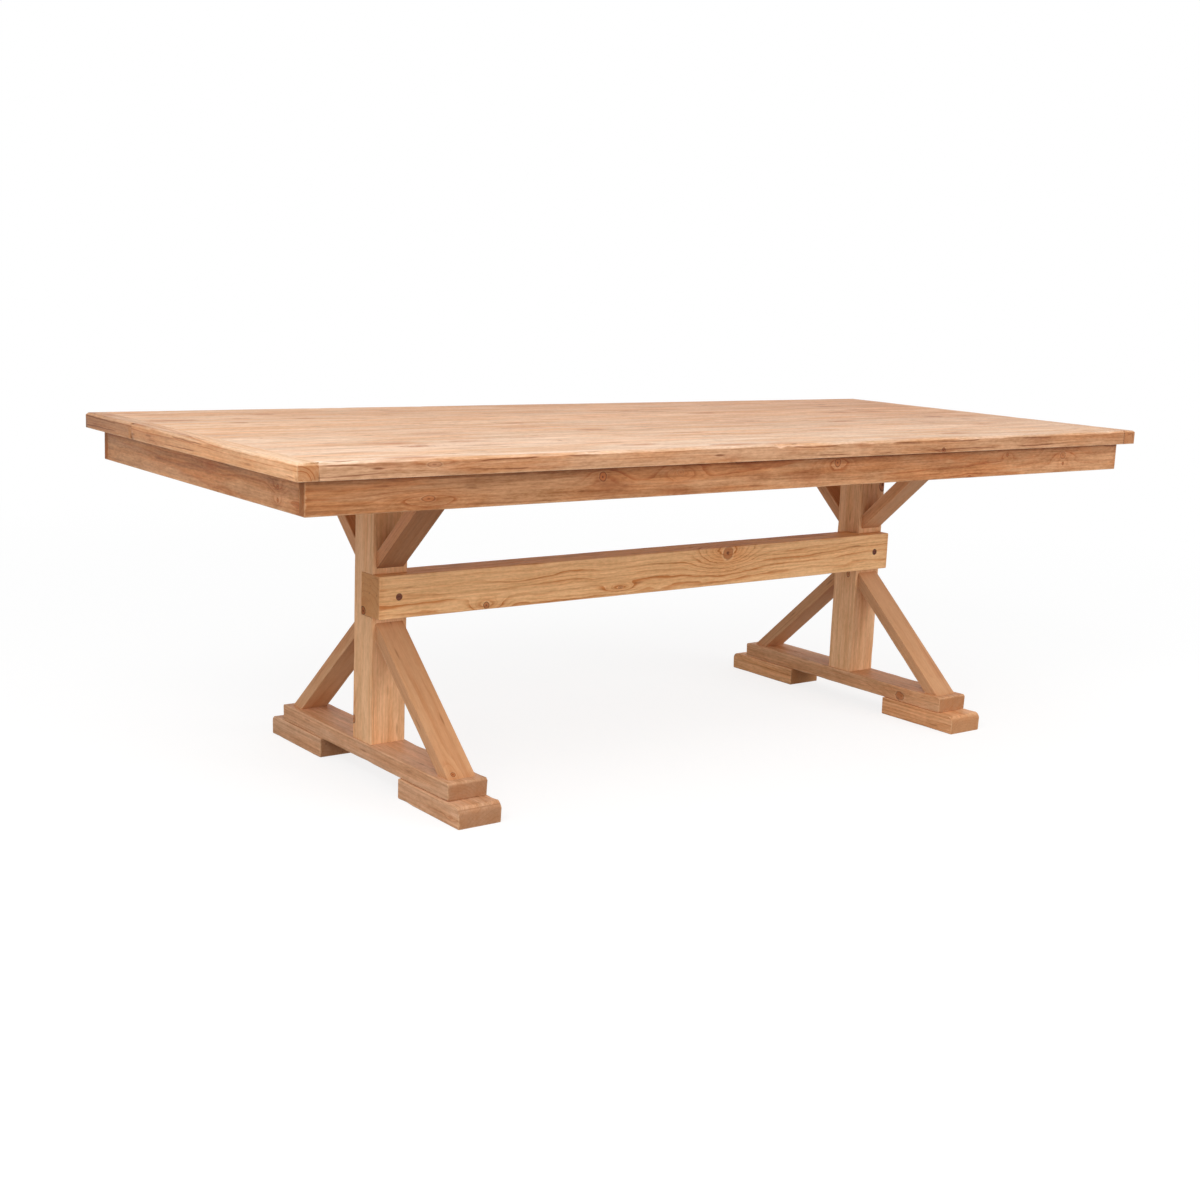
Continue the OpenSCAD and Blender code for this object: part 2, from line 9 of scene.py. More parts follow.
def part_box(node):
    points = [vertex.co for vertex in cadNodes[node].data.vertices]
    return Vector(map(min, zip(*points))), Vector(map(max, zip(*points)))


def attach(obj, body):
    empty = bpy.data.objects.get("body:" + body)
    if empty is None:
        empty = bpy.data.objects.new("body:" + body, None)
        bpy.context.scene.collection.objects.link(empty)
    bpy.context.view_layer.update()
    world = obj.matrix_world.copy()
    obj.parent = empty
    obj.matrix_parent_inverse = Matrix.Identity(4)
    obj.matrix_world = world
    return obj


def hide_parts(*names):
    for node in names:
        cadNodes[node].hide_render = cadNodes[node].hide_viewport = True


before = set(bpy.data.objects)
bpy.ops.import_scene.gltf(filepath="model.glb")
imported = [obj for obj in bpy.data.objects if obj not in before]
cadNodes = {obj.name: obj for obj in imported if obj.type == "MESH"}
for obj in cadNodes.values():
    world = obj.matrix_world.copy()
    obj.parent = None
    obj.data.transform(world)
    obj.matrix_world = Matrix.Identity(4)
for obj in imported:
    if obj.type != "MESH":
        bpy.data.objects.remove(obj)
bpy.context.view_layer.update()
print("frame loaded:", len(cadNodes), "nodes")

scene = bpy.context.scene
scene.view_settings.view_transform = "Standard"


# Helpers for wiring trees: a new node goes into the tree of the sockets that feed it, or into a named one

def feed(socket, value):  # a link where the value comes from a node, else a fixed value on the socket
    if isinstance(value, bpy.types.NodeSocket):
        socket.id_data.links.new(value, socket)
    else:
        socket.default_value = value


def fill(made, *values):  # feeds a node's inputs in their order
    for socket, value in zip(made.inputs, values):
        feed(socket, value)
    return made


def treeOf(values):
    return next(value.id_data for value in values if isinstance(value, bpy.types.NodeSocket))


def put(kind, settings=None, tree=None, **inputs):
    made = (tree or treeOf(inputs.values())).nodes.new(kind)
    for name, value in (settings or {}).items():
        setattr(made, name, value)
    for name, value in inputs.items():
        feed(made.inputs[name], value)
    return made


def calc(operation, *values, clamp=False):
    made = put("ShaderNodeMath", {"operation": operation, "use_clamp": clamp}, treeOf(values))
    return fill(made, *values).outputs[0]


def chained(operation):  # one operation over two values or more, from the left
    def work(total, *values):
        for value in values:
            total = calc(operation, total, value)
        return total
    return work


plus, minus, times, over = (chained(name) for name in ("ADD", "SUBTRACT", "MULTIPLY", "DIVIDE"))
lowest, highest = chained("MINIMUM"), chained("MAXIMUM")


def vector(operation, *values):
    made = fill(put("ShaderNodeVectorMath", {"operation": operation}, treeOf(values)), *values)
    return made.outputs["Value" if operation == "LENGTH" else "Vector"]


def scaled(value, factor):
    return put("ShaderNodeVectorMath", {"operation": "SCALE"}, Vector=value, Scale=factor).outputs["Vector"]


def split(value):  # X, Y and Z of a vector
    return put("ShaderNodeSeparateXYZ", Vector=value).outputs


def chances(colourOut):  # the three parts of a chance colour
    return put("ShaderNodeSeparateColor", Color=colourOut).outputs


def ramp(value, start, end, low=0.0, high=1.0):  # soft step from low to high
    limits = {"From Min": start, "From Max": end, "To Min": low, "To Max": high}
    return put("ShaderNodeMapRange", {"interpolation_type": "SMOOTHSTEP"}, Value=value, **limits).outputs[0]


def tint(share, first, second, mode="MIX"):
    made = put("ShaderNodeMix", {"data_type": "RGBA", "blend_type": mode}, share.id_data)
    for i, value in ((0, share), (6, first), (7, second)):  # 6 and 7 are its colours
        feed(made.inputs[i], value)
    return made.outputs[2]


def cloud(place, stretch, detail=2.0, roughness=0.5):  # noise whose grains are 1 / stretch long on each axis
    spot = vector("MULTIPLY", place, stretch)
    return put("ShaderNodeTexNoise", Vector=spot, Scale=1.0, Detail=detail, Roughness=roughness).outputs


def swing(cloudOut):  # the noise as a short vector that points any way
    return vector("SUBTRACT", cloudOut["Color"], (0.5, 0.5, 0.5))


def cells(place, stretch):  # cells of chance, 1 / stretch long on each axis
    return put("ShaderNodeTexVoronoi", Vector=vector("MULTIPLY", place, stretch), Scale=1.0).outputs


def objectPlace(tree):
    return put("ShaderNodeTexCoord", tree=tree).outputs["Object"]


def numbers(values):  # number inputs for a group, with what they hold at first
    return {name: ("Float", value) for name, value in values.items()}


def newGroup(name, kind, inputs, outputs):
    group = bpy.data.node_groups.new(name, kind)
    for label, (socketKind, default) in inputs.items():
        socket = group.interface.new_socket(label, in_out="INPUT", socket_type="NodeSocket" + socketKind)
        if default is not None:
            socket.default_value = default
    for label, socketKind in outputs.items():
        group.interface.new_socket(label, in_out="OUTPUT", socket_type="NodeSocket" + socketKind)
    return group, group.nodes.new("NodeGroupInput").outputs, group.nodes.new("NodeGroupOutput").inputs


def newMaterial(name):
    material = bpy.data.materials.new(name)
    material.use_nodes = True
    return material


def finishMaterial(material, base, rough, height, bump, gloss=0.5, metal=0.0):
    shader = material.node_tree.nodes["Principled BSDF"]
    raised = put("ShaderNodeBump", Height=height, Strength=bump[0], Distance=bump[1]).outputs[0]
    values = {"Base Color": base, "Roughness": rough, "Normal": raised, "Specular IOR Level": gloss,
              "Metallic": metal}
    for name, value in values.items():
        feed(shader.inputs[name], value)
    return material


def newObject(name, data):
    made = bpy.data.objects.new(name, data)
    scene.collection.objects.link(made)
    return made


def dress(thing, material):
    thing.data.materials.clear()
    thing.data.materials.append(material)


def colour(red, green, blue):  # from screen values 0 to 255 to the linear ones that a shader takes
    def linear(value):
        share = value / 255
        return share / 12.92 if share <= 0.04045 else ((share + 0.055) / 1.055) ** 2.4
    return (linear(red), linear(green), linear(blue), 1.0)


# Pine: growth rings round a heart line, fibre streaks, knots, flecks, worn edges with a painted highlight,
# darker end grain and a painted shade under the tabletop

pineLook = {  # the stains and tints multiply the board's own pale colour
    "ringWander": 0.034,  # how far the heart line strays, in metres
    "shadeSpread": (0.8, 1.0, 1.3),  # darker wood is also redder
    "lateWood": (0.68, 0.44, 0.27, 1.0),
    "warm": (0.95, 0.78, 0.6, 1.0),
    "grey": (0.9, 0.79, 0.7, 1.0),
    "smudge": (0.7, 0.47, 0.33, 1.0),
    "fleck": (0.45, 0.33, 0.26, 1.0),
    # dark soil along the edges, and also the colour of the painted shade under the tabletop
    "soilAndShade": (0.4, 0.25, 0.17, 1.0),
    "endWood": (0.66, 0.58, 0.51, 1.0),
    "halo": (0.88, 0.7, 0.54, 1.0),
    "knotWood": colour(92, 44, 24),
    "knotRing": colour(176, 99, 50),
    "wornHighlight": colour(236, 194, 152),
    "narrowRings": 2.37,  # a second, fainter set of rings, so much narrower than the first
    "smudgeCells": (5, 17, 17),  # to a metre, and how torn they are in metres
    "smudgeTorn": (0.09, 0.03, 0.03),
    "fleckCells": (11, 70, 70),
    "bump": (0.5, 0.0008),  # strength, and depth in metres
    "gloss": 0.2,
}
pineClouds = {  # grains per metre along the fibres and across them, detail and roughness
    "stray": (0.9, 2.2, 1.0, 0.5), "warp": (6, 30, 3.0, 0.5),
    "broad": (1.4, 12, 2.0, 0.5), "warmth": (3.2, 30, 3.0, 0.6),
    "streak": (2.6, 58, 3.0, 0.6), "mottle": (15, 36, 4.0, 0.65),
    "fibre": (7, 230, 3.0, 0.65), "grit": (70, 260, 2.0, 0.6),
    "torn": (16, 40, 3.0, 0.6), "broken": (26, 90, 3.0, 0.6), "wavy": (4, 9, 3.0, 0.6),
}
pineShade = {"broad": 0.45, "streak": -0.6, "mottle": 0.55}  # how much each cloud darkens or lightens the wood
pineFine = {"fibre": 0.8, "grit": 0.5}
pineSteps = {  # where a mark starts and where it is full, then its least and its greatest share
    "lateRise": (0.42, 0.92), "lateDrop": (1.0, 0.94),
    "endGrain": (0.45, 0.97), "side": (0.9, 0.35),
    "warm": (0.4, 0.64), "greyBroad": (0.47, 0.3), "greyMottle": (0.42, 0.6),
    "ringPatch": (0.36, 0.62, 0.35, 1.15),
    "smudgeSize": (0.44, 0.1), "smudgePick": (0.58, 0.64), "smudgeDepth": (0.0, 1.0, 0.25, 1.0),
    "fleckSize": (0.24, 0.08), "fleckPick": (0.76, 0.8),
    "wornHighlight": (0.0035, 0.0, 0.0, 0.34),  # from here on the distances to an edge, in metres
    "soilInner": (0.0064, 0.0078), "soilOuter": (0.0104, 0.0086), "soilPick": (0.52, 0.6),
    "endGrime": (0.02, 0.0), "paintedShadeUnderTop": (0.011, 0.001),
}
plainLook = {  # how strong each mark of the wood shows
    "Ring gap": 0.0072, "Ring strength": 0.4, "Streaks": 0.4, "Flecks": 0.5, "Smudges": 0.45, "Edge soil": 0.3,
    "End soil": 0.6, "End shade": 0.7, "End rings": 0.4, "Contrast": 0.65, "Fine": 0.9, "Waves": 0.006,
    "Painted shade under top": 0.0,
}
plainKnot = {  # soft marks have a torn outline, and rise is how many rings the knot lifts within its reach
    "long": 1.0, "dark": 1.0, "soft": 0.0, "rise": 1.5, "reach": 2.6, "glow": 0.5, "rim": 1.0,
}
pineResults = {"Color": "Color", "Roughness": "Float", "Height": "Float"}
handedOn = {"Lift": 0.0, "Core": 0.0, "Ring": 0.0, "Halo": 0.0}  # from knot to knot, and then to the grain
knotLook = {  # distances in radii
    "ripple": (60, 150, 150),  # grains per metre of the uneven outline
    "eye": (0.42, 1.0, 1.0),  # the grain flows round the knot in a long eye
    "rimInner": (0.82, 0.98), "rimOuter": (1.2, 1.02), "heart": (0.36, 0.16), "halo": (1.2, 1.5),
    "coreOuter": 1.12, "coreInner": 0.9, "coreSoft": 0.65,
}


def buildKnotGroup():
    group, given, result = newGroup(
        "knotMark", "ShaderNodeTree",
        {**dict.fromkeys(("Place", "Centre", "Spread"), ("Vector", None)), **numbers(handedOn),
         **numbers(dict.fromkeys(("Rise", "Dark", "Soft", "Reach", "Glow", "Rim"), 1.0))},
        dict.fromkeys(handedOn, "Float"))

    def near(name):
        return ramp(distance, *knotLook[name])
    away = vector("MULTIPLY", vector("SUBTRACT", given["Place"], given["Centre"]), given["Spread"])
    ripple = swing(cloud(given["Place"], knotLook["ripple"]))
    uneven = plus(times(given["Soft"], 2.6), 0.5)  # soft marks are torn, knots are nearly round
    bent = vector("ADD", away, scaled(ripple, uneven))
    distance = vector("LENGTH", bent)
    share = over(vector("LENGTH", vector("MULTIPLY", bent, knotLook["eye"])), given["Reach"])
    fall = calc("EXPONENT", times(share, share, -1.0))
    feed(result["Lift"], plus(given["Lift"], times(fall, given["Rise"])))
    spread = times(given["Soft"], knotLook["coreSoft"])
    outer, inner = plus(spread, knotLook["coreOuter"]), minus(knotLook["coreInner"], spread)
    core = times(ramp(distance, outer, inner), given["Dark"])
    feed(result["Core"], highest(given["Core"], core))
    rim = times(near("rimInner"), near("rimOuter"), given["Rim"])
    hard = minus(1.0, given["Soft"])
    mark = times(highest(rim, near("heart")), times(given["Dark"], hard))
    feed(result["Ring"], highest(given["Ring"], mark))
    # Redder wood round the knot, past a thin pale ring
    around = times(fall, given["Glow"], near("halo"), hard)
    feed(result["Halo"], highest(given["Halo"], around))
    return group


def buildPineGroup():
    group, given, result = newGroup(
        "pineGrain", "ShaderNodeTree",
        {**dict.fromkeys(("Place", "Facing", "Edge place", "Seed", "Heart", "Slope", "Half"), ("Vector", None)),
         **dict.fromkeys(("Pale", "Far pale", "Side tint"), ("Color", None)),
         **numbers(plainLook), **numbers(handedOn), "Half length": ("Float", 1.0)},
        pineResults)
    place = given["Place"]
    seeded = vector("ADD", place, given["Seed"])
    clouds = {name: cloud(seeded, (long, wide, wide), detail, roughness)
              for name, (long, wide, detail, roughness) in pineClouds.items()}
    warmth, fibre, streak = (clouds[name][0] for name in ("warmth", "fibre", "streak"))

    def lean(name, amount):  # to either side of nothing
        return times(minus(clouds[name][0], 0.5), amount)

    def step(name, value):
        return ramp(value, *pineSteps[name])

    def stain(wood, name, *shares):
        return tint(times(*shares), wood, pineLook[name], "MULTIPLY")

    # Rings: distance from the heart line, which strays and slopes, plus what the knots lift
    wander = pineLook["ringWander"]
    stray = vector("MULTIPLY", swing(clouds["stray"]), (0.0, wander, wander))
    along, _, up = split(place)
    aside = vector("ADD", vector("SUBTRACT", place, given["Heart"]), stray)
    aside = vector("SUBTRACT", aside, scaled(given["Slope"], along))
    radius = vector("LENGTH", vector("MULTIPLY", aside, (0.0, 1.0, 1.0)))
    count = over(plus(radius, lean("warp", given["Waves"]), given["Lift"]), given["Ring gap"])

    def lateWood(rings, strength):
        phase = calc("FRACT", rings)
        year = put("ShaderNodeTexWhiteNoise", {"noise_dimensions": "1D"}, W=calc("FLOOR", rings))
        rise = step("lateRise", phase)
        yearly = ramp(year.outputs["Value"], 0.0, 1.0, 0.3 * strength, strength)
        return times(rise, rise, step("lateDrop", phase), yearly)
    late = highest(lateWood(count, 1.0), lateWood(times(count, pineLook["narrowRings"]), 0.45))

    # End grain shows where the surface faces along the fibres
    facing = split(given["Facing"])
    endGrain = step("endGrain", calc("ABSOLUTE", facing["X"]))
    longGrain = minus(1.0, endGrain)

    shade = plus(*(lean(name, amount) for name, amount in pineShade.items()))
    thin = plus(*(lean(name, amount) for name, amount in pineFine.items()))
    shade = plus(times(shade, given["Contrast"]), times(thin, given["Fine"]))
    shade = times(shade, minus(1.0, times(endGrain, 0.65)))
    wayAlong = plus(times(over(along, given["Half length"]), 0.5), 0.5)
    pale = tint(wayAlong, given["Pale"], given["Far pale"])
    spread = vector("ADD", scaled(pineLook["shadeSpread"], shade), (1, 1, 1))
    wood = vector("MULTIPLY", pale, spread)
    wood = stain(wood, "warm", step("warm", warmth), given["Streaks"])
    patch = times(step("greyBroad", clouds["broad"][0]), step("greyMottle", clouds["mottle"][0]))
    wood = stain(wood, "grey", patch, given["Streaks"])
    wood = stain(wood, "halo", given["Halo"], 0.8)

    ringShare = times(late, step("ringPatch", warmth), given["Ring strength"])
    ringShare = plus(ringShare, times(late, 0.7, given["Halo"]))
    endRings = times(endGrain, late, given["End rings"])
    ringShare = calc("MAXIMUM", times(ringShare, longGrain), endRings, clamp=True)
    wood = stain(wood, "lateWood", ringShare)

    # Smudges: torn brown patches, in one cell of four
    torn = vector("MULTIPLY", swing(clouds["torn"]), pineLook["smudgeTorn"])
    spot = cells(vector("ADD", seeded, torn), pineLook["smudgeCells"])
    pick = chances(spot["Color"])
    wood = stain(wood, "smudge", step("smudgeSize", spot["Distance"]), step("smudgePick", pick[0]),
                 step("smudgeDepth", pick[1]), given["Smudges"])

    # Flecks: short dark dashes along the fibres, in one cell of many
    cell = cells(seeded, pineLook["fleckCells"])
    chosen = step("fleckPick", chances(cell["Color"])[0])
    dash = times(step("fleckSize", cell["Distance"]), chosen, given["Flecks"])
    wood = stain(wood, "fleck", dash)

    # Knots: a dark core, a rim and a heart
    wood = tint(times(given["Core"], 0.8), wood, pineLook["knotRing"])
    wood = tint(times(given["Ring"], 0.8), wood, pineLook["knotWood"])
    wood = stain(wood, "endWood", endGrain, given["End shade"])
    side = step("side", calc("ABSOLUTE", facing["Z"]))
    wood = tint(side, wood, given["Side tint"], "MULTIPLY")

    # Edges: the nearest edge is the middle one of the three distances to the board's sides
    gap = split(vector("SUBTRACT", given["Half"], vector("ABSOLUTE", given["Edge place"])))
    low, high = (pair(gap["X"], gap["Y"]) for pair in (lowest, highest))
    near = highest(low, lowest(high, gap["Z"]))
    # Worn edges: lighter along the arrises, partly real wear and partly a painted highlight
    wornHighlight = step("wornHighlight", plus(near, lean("broken", -0.012)))
    wood = tint(wornHighlight, wood, pineLook["wornHighlight"])
    fromEdge = plus(near, lean("wavy", 0.018))
    here = step("soilPick", chances(clouds["wavy"]["Color"])[1])
    line = times(step("soilInner", fromEdge), step("soilOuter", fromEdge), here, given["Edge soil"])
    wood = stain(wood, "soilAndShade", line)
    fromEnd = minus(given["Half length"], calc("ABSOLUTE", along))
    wood = stain(wood, "grey", step("endGrime", plus(fromEnd, lean("broken", 0.03))), given["End soil"])
    # Painted shade: the band just under the board's top face is darkened, standing in for the shadow under the
    # tabletop's overhang
    below = minus(split(given["Half"])["Z"], up)
    wood = stain(wood, "soilAndShade", step("paintedShadeUnderTop", plus(below, lean("broken", 0.008))), given["Painted shade under top"])

    feed(result["Color"], wood)
    rough = plus(lean("fibre", 0.4), 0.54, times(endGrain, 0.18))
    feed(result["Roughness"], minus(rough, times(late, 0.06)))
    height = plus(times(fibre, 0.5), times(late, 0.22), times(streak, 0.5))
    sunk = times(highest(dash, line), 0.6)
    feed(result["Height"], minus(height, sunk, times(given["Ring"], 0.3)))
    return group


knotGroup = buildKnotGroup()
pineGroup = buildPineGroup()
print("pine shader built")


# Where each timber lies and which way its grain runs, read from the CAD pieces

touching = 1e-5  # metres: corners this near are in one place
crease = math.radians(30)  # edges that turn less than this stay smooth


def mergedCopy(node):
    mesh = bmesh.new()
    mesh.from_mesh(cadNodes[node].data)
    bmesh.ops.remove_doubles(mesh, verts=mesh.verts, dist=touching)
    return mesh


def cleanCopy(node):  # the CAD mesh with its flat faces whole
    mesh = mergedCopy(node)
    bmesh.ops.dissolve_limit(mesh, angle_limit=math.radians(0.5), verts=mesh.verts, edges=mesh.edges)
    return mesh


def grainFrame(node, mesh):  # turn puts the grain along X, and centre is the middle of the board
    longest = max(mesh.edges, key=lambda edge: edge.calc_length())
    along = (longest.verts[1].co - longest.verts[0].co).normalized()
    if abs(along.x) > 0.9:
        turn = Matrix.Identity(3)
    else:
        along = along if along.z > 0.01 or along.y > 0.9 else -along
        across = Vector((-1, 0, 0))
        turn = Matrix((along, across, along.cross(across)))
    low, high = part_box(node)
    return turn, (low + high) / 2


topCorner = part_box("end_strip_right")[1]
topMiddle = (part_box("end_strip_left_front")[0] + topCorner) / 2
topHalf = topCorner - topMiddle

plainKind = {"step": 0.03, "slant": 0.0}  # metres between cuts across the grain, and of slanted end
timberKinds = {  # start of the node's name: how its edges and ends are eased, in metres, and how its wood looks
    "top_plank": {"ease": 0.0012, "ends": 0.0002, "step": 0.02, "wood": "top"},
    "end_strip": {"ease": 0.0012, "ends": 0.0002, "step": 0.02, "wood": "strip"},
    "apron": {"ease": 0.0014, "ends": 0.0014, "step": 0.04, "wood": "apron"},
    "centre_batten": {"ease": 0.0015, "ends": 0.0015, "step": 0.06, "wood": "frame"},
    "bearer": {"ease": 0.002, "ends": 0.002, "step": 0.06, "wood": "frame"},
    "post": {"ease": 0.0022, "ends": 0.0006, "wood": "frame"},
    "foot_beam": {"ease": 0.003, "ends": 0.0022, "wood": "foot"},
    "foot_pad": {"ease": 0.003, "ends": 0.0022, "wood": "foot"},
    "upper_brace": {"ease": 0.0018, "ends": 0.0004, "slant": 0.05, "wood": "upper"},
    "lower_brace": {"ease": 0.0018, "ends": 0.0004, "slant": 0.05, "wood": "brace"},
    "stretcher": {"ease": 0.0024, "ends": 0.0024, "wood": "stretcher"},
}
woodLooks = {  # where a kind of timber, or one board, differs from the plain look
    "top": {"Ring gap": 0.0058, "Streaks": 0.85, "Smudges": 1.0, "Edge soil": 0.85, "End soil": 0.0,
            "Flecks": 1.0, "Contrast": 0.7, "Fine": 1.6, "Pale": (235, 200, 170),
            "Side tint": (0.66, 0.51, 0.39)},
    "strip": {"Ring gap": 0.0064, "Ring strength": 0.8, "Streaks": 0.6, "Smudges": 0.6, "Edge soil": 0.7,
              "End soil": 0.0, "End shade": 1.0, "End rings": 1.0, "Contrast": 0.7, "Fine": 1.2,
              "Pale": (232, 195, 163), "Side tint": (0.9, 0.74, 0.6)},
    # the apron's top band carries the painted shade under the tabletop
    "apron": {"Ring gap": 0.0066, "Ring strength": 0.7, "Streaks": 0.9, "Smudges": 0.8, "Contrast": 1.5,
              "Fine": 1.6, "Waves": 0.01, "Painted shade under top": 1.0, "Pale": (197, 144, 102)},
    "frame": {"Pale": (232, 183, 137)},
    "brace": {"Ring strength": 0.35, "Streaks": 0.3, "Contrast": 0.25, "Fine": 0.45, "Pale": (210, 160, 118)},
    # upper braces: the side tint paints their side faces lighter than their upper and under faces, a painted
    # light
    "upper": {"Ring strength": 0.25, "Contrast": 0.4, "Fine": 0.8, "Pale": (212, 160, 118),
              "Side tint": (1.12, 1.14, 1.16)},
    "foot": {"Ring strength": 0.5, "Streaks": 0.45, "Smudges": 0.5, "Edge soil": 0.0, "End soil": 0.0,
             "End shade": 0.95, "End rings": 0.25, "Contrast": 1.1, "Fine": 1.2, "Pale": (208, 162, 126)},
    "stretcher": {"Ring gap": 0.012, "Ring strength": 1.1, "Streaks": 0.22, "Smudges": 0.1, "Edge soil": 0.2,
                  "Contrast": 0.45, "Fine": 1.1, "Waves": 0.028, "Pale": (246, 194, 139)},
    # painted shade: this brace is darker all over, so its upper and under faces look shaded by the tabletop,
    # and the side tint lifts its side faces back
    "upper_brace_front_left": {"Pale": (164, 116, 82), "Side tint": (1.6, 1.65, 1.7)},
    "end_strip_right": {"End rings": 0.3, "End shade": 0.85},
    "end_strip_left_back": {"Side tint": (0.68, 0.54, 0.43)},
    # painted light: the right post is paler all over, to lift its left face, which the lamps light too little
    "post_right": {"Pale": (240, 192, 146)},
    "foot_beam_right": {"Pale": (224, 174, 132)},
    "foot_pad_front_right": {"Pale": (236, 182, 136)},
    "foot_pad_back_right": {"Pale": (240, 184, 134)},
}
boardTonesAndShade = {  # tint at the left end and at the right: the planks get darker and browner towards the back and the right, partly their own tone and partly painted shade of the light falling off from the front left
    "top_plank_1": ((1.0, 1.03, 1.07), (1.0, 0.96, 0.92)),
    "top_plank_2": ((1.0, 1.01, 1.03), (0.98, 0.9, 0.84)),
    "top_plank_3": ((1.0, 0.98, 0.96), (0.95, 0.84, 0.76)),
    "top_plank_4": ((0.98, 0.93, 0.88), (0.92, 0.77, 0.66)),
    "top_plank_5": ((0.97, 0.91, 0.84), (0.9, 0.73, 0.6)),
    "top_plank_6": ((0.95, 0.87, 0.79), (0.88, 0.7, 0.57)),
    "top_plank_7": ((0.95, 0.86, 0.77), (0.88, 0.69, 0.56)),
    "end_strip_left_front": ((1.06, 1.08, 1.05), (0.84, 0.77, 0.7)),
    "end_strip_left_back": ((0.86, 0.77, 0.68), (0.8, 0.71, 0.62)),
    # painted light: the apron's front is darker at its left end and brighter at its right
    "apron_front": ((0.84, 0.82, 0.78), (1.08, 1.08, 1.08)),
    "end_strip_right": ((0.98, 0.88, 0.8), (0.92, 0.77, 0.66)),
}


def knot(x, y, z, radius, **others):  # metres, and what differs from the plain knot
    return {**plainKnot, "at": Vector((x, y, z)), "radius": radius, **others}


def blotch(x, y, radius, **others):  # a soft dark mark on the tabletop
    return knot(x, y, topCorner.z, radius, **{"soft": 1.0, **others})


knotPlaces = {  # the knots and marks that have a place of their own
    "apron_front": [
        knot(-0.913, -0.48, 0.69, 0.0055, long=2.6, dark=0.65, rise=3.4),
        knot(-0.505, -0.48, 0.715, 0.0088, rise=1.6),
        knot(-0.302, -0.48, 0.716, 0.006, long=1.4, dark=0.25, rise=2.4),
        knot(-0.14, -0.48, 0.734, 0.004, long=4.0, rise=0.6),
        knot(0.156, -0.48, 0.72, 0.0085, long=1.1, dark=0.85, rise=3.0),
        knot(0.738, -0.48, 0.719, 0.0045, long=1.1, rise=1.2),
        knot(0.953, -0.48, 0.711, 0.0085, long=1.2, dark=0.5, rise=2.4),
        knot(0.955, -0.48, 0.69, 0.0042, rise=0.8),
        knot(0.604, -0.48, 0.669, 0.005, long=1.3, rise=0.6)],
    "apron_left": [knot(-1.17, -0.374, 0.711, 0.005), knot(-1.17, -0.374, 0.686, 0.0042, rise=1.0)],
    "stretcher": [
        knot(0.209, -0.068, 0.446, 0.016, dark=0.95, rise=5.0, reach=2.0, glow=1.0, rim=0.25),
        knot(-0.505, -0.068, 0.3765, 0.0075, dark=0.95, rise=1.8),
        knot(-0.126, -0.068, 0.387, 0.0034, long=1.8, dark=0.7, rise=1.6),
        knot(-0.78, 0.0, 0.376, 0.0095)],
    "top_plank_1": [
        knot(0.471, -0.51, 0.741, 0.0065, rise=0.8),
        knot(-0.919, -0.51, 0.758, 0.005, long=3.0, dark=0.4, rise=2.0)],
    "top_plank_2": [
        blotch(-0.843, -0.32, 0.0125, long=3.4, dark=0.95, soft=0.8, rise=1.2),
        blotch(-0.988, -0.226, 0.01, long=2.4, dark=0.55, rise=1.2)],
    "top_plank_3": [
        blotch(-0.67, -0.109, 0.018, long=3.0, dark=0.42, rise=3.0),
        blotch(0.779, -0.174, 0.012, long=2.0, dark=0.6),
        blotch(0.983, -0.126, 0.01, long=1.8, dark=0.7, rise=1.2)],
    "top_plank_4": [
        blotch(-0.362, 0.06, 0.014, long=2.2, dark=0.7, rise=1.2),
        blotch(-0.4, -0.045, 0.022, long=3.0, dark=0.4, rise=2.0),
        blotch(0.244, -0.05, 0.022, long=2.6, dark=0.35, rise=2.0),
        blotch(0.945, -0.05, 0.017, long=1.5, dark=0.9, soft=0.7, rise=3.0)],
    "top_plank_5": [
        blotch(0.876, 0.185, 0.015, long=2.0, dark=0.6),
        blotch(-0.976, 0.205, 0.011, long=2.0, dark=0.9, soft=0.8, rise=1.2)],
    "top_plank_6": [
        blotch(-0.934, 0.292, 0.013, long=2.0, dark=0.6),
        blotch(-0.783, 0.268, 0.012, long=1.6, dark=0.7, soft=0.8),
        blotch(0.139, 0.278, 0.015, long=2.4, dark=0.7),
        blotch(0.202, 0.244, 0.014, long=3.0, dark=0.5)],
    "top_plank_7": [blotch(-0.83, 0.38, 0.013, long=2.2, dark=0.8, soft=0.8)],
    "end_strip_left_back": [blotch(-1.177, 0.435, 0.012, long=1.4, dark=0.7)],
    "post_right": [
        knot(0.772, -0.04, 0.59, 0.01, long=1.8),
        knot(0.6945, -0.012, 0.348, 0.006, long=1.4, dark=0.8, rise=1.2)],
    "post_left": [knot(-0.7805, 0.036, 0.125, 0.0065, long=1.6)],
    "lower_brace_front_left": [knot(-0.7545, -0.338, 0.091, 0.005)],
    "lower_brace_back_left": [knot(-0.7715, 0.226, 0.2, 0.006, long=1.3, dark=0.9)],
    "foot_beam_right": [knot(0.6895, -0.234, 0.06, 0.011, long=1.3, dark=0.9, soft=0.35, rise=4.0, glow=0.8)],
}
heartPlaces = {  # where the growth rings centre, for boards whose rings or arcs show plainly
    "stretcher": (0.0, 0.0, 0.3245),
    "end_strip_left_front": (-1.195, -0.3, 0.737),
}
boardLuck = {  # what differs by chance from board to board
    "gap": (0.8, 1.25),  # times the ring gap
    "heartDepth": (0.03, 0.07),  # how far the heart lies behind the wide faces, in metres
    "brightness": (0.95, 1.04),
    "slope": (-0.02, 0.02),
}
scatter = {  # knots that are strewn over every board
    "perMetre": 0.9,
    "radius": (0.0022, 0.0055),
    "dark": (0.5, 1.0),
    "rise": (0.8, 2.2),
}


def kindOf(node):
    return {**plainKind, **next(kind for start, kind in timberKinds.items() if node.startswith(start))}


def isTop(kind):
    return kind["wood"] in ("top", "strip")


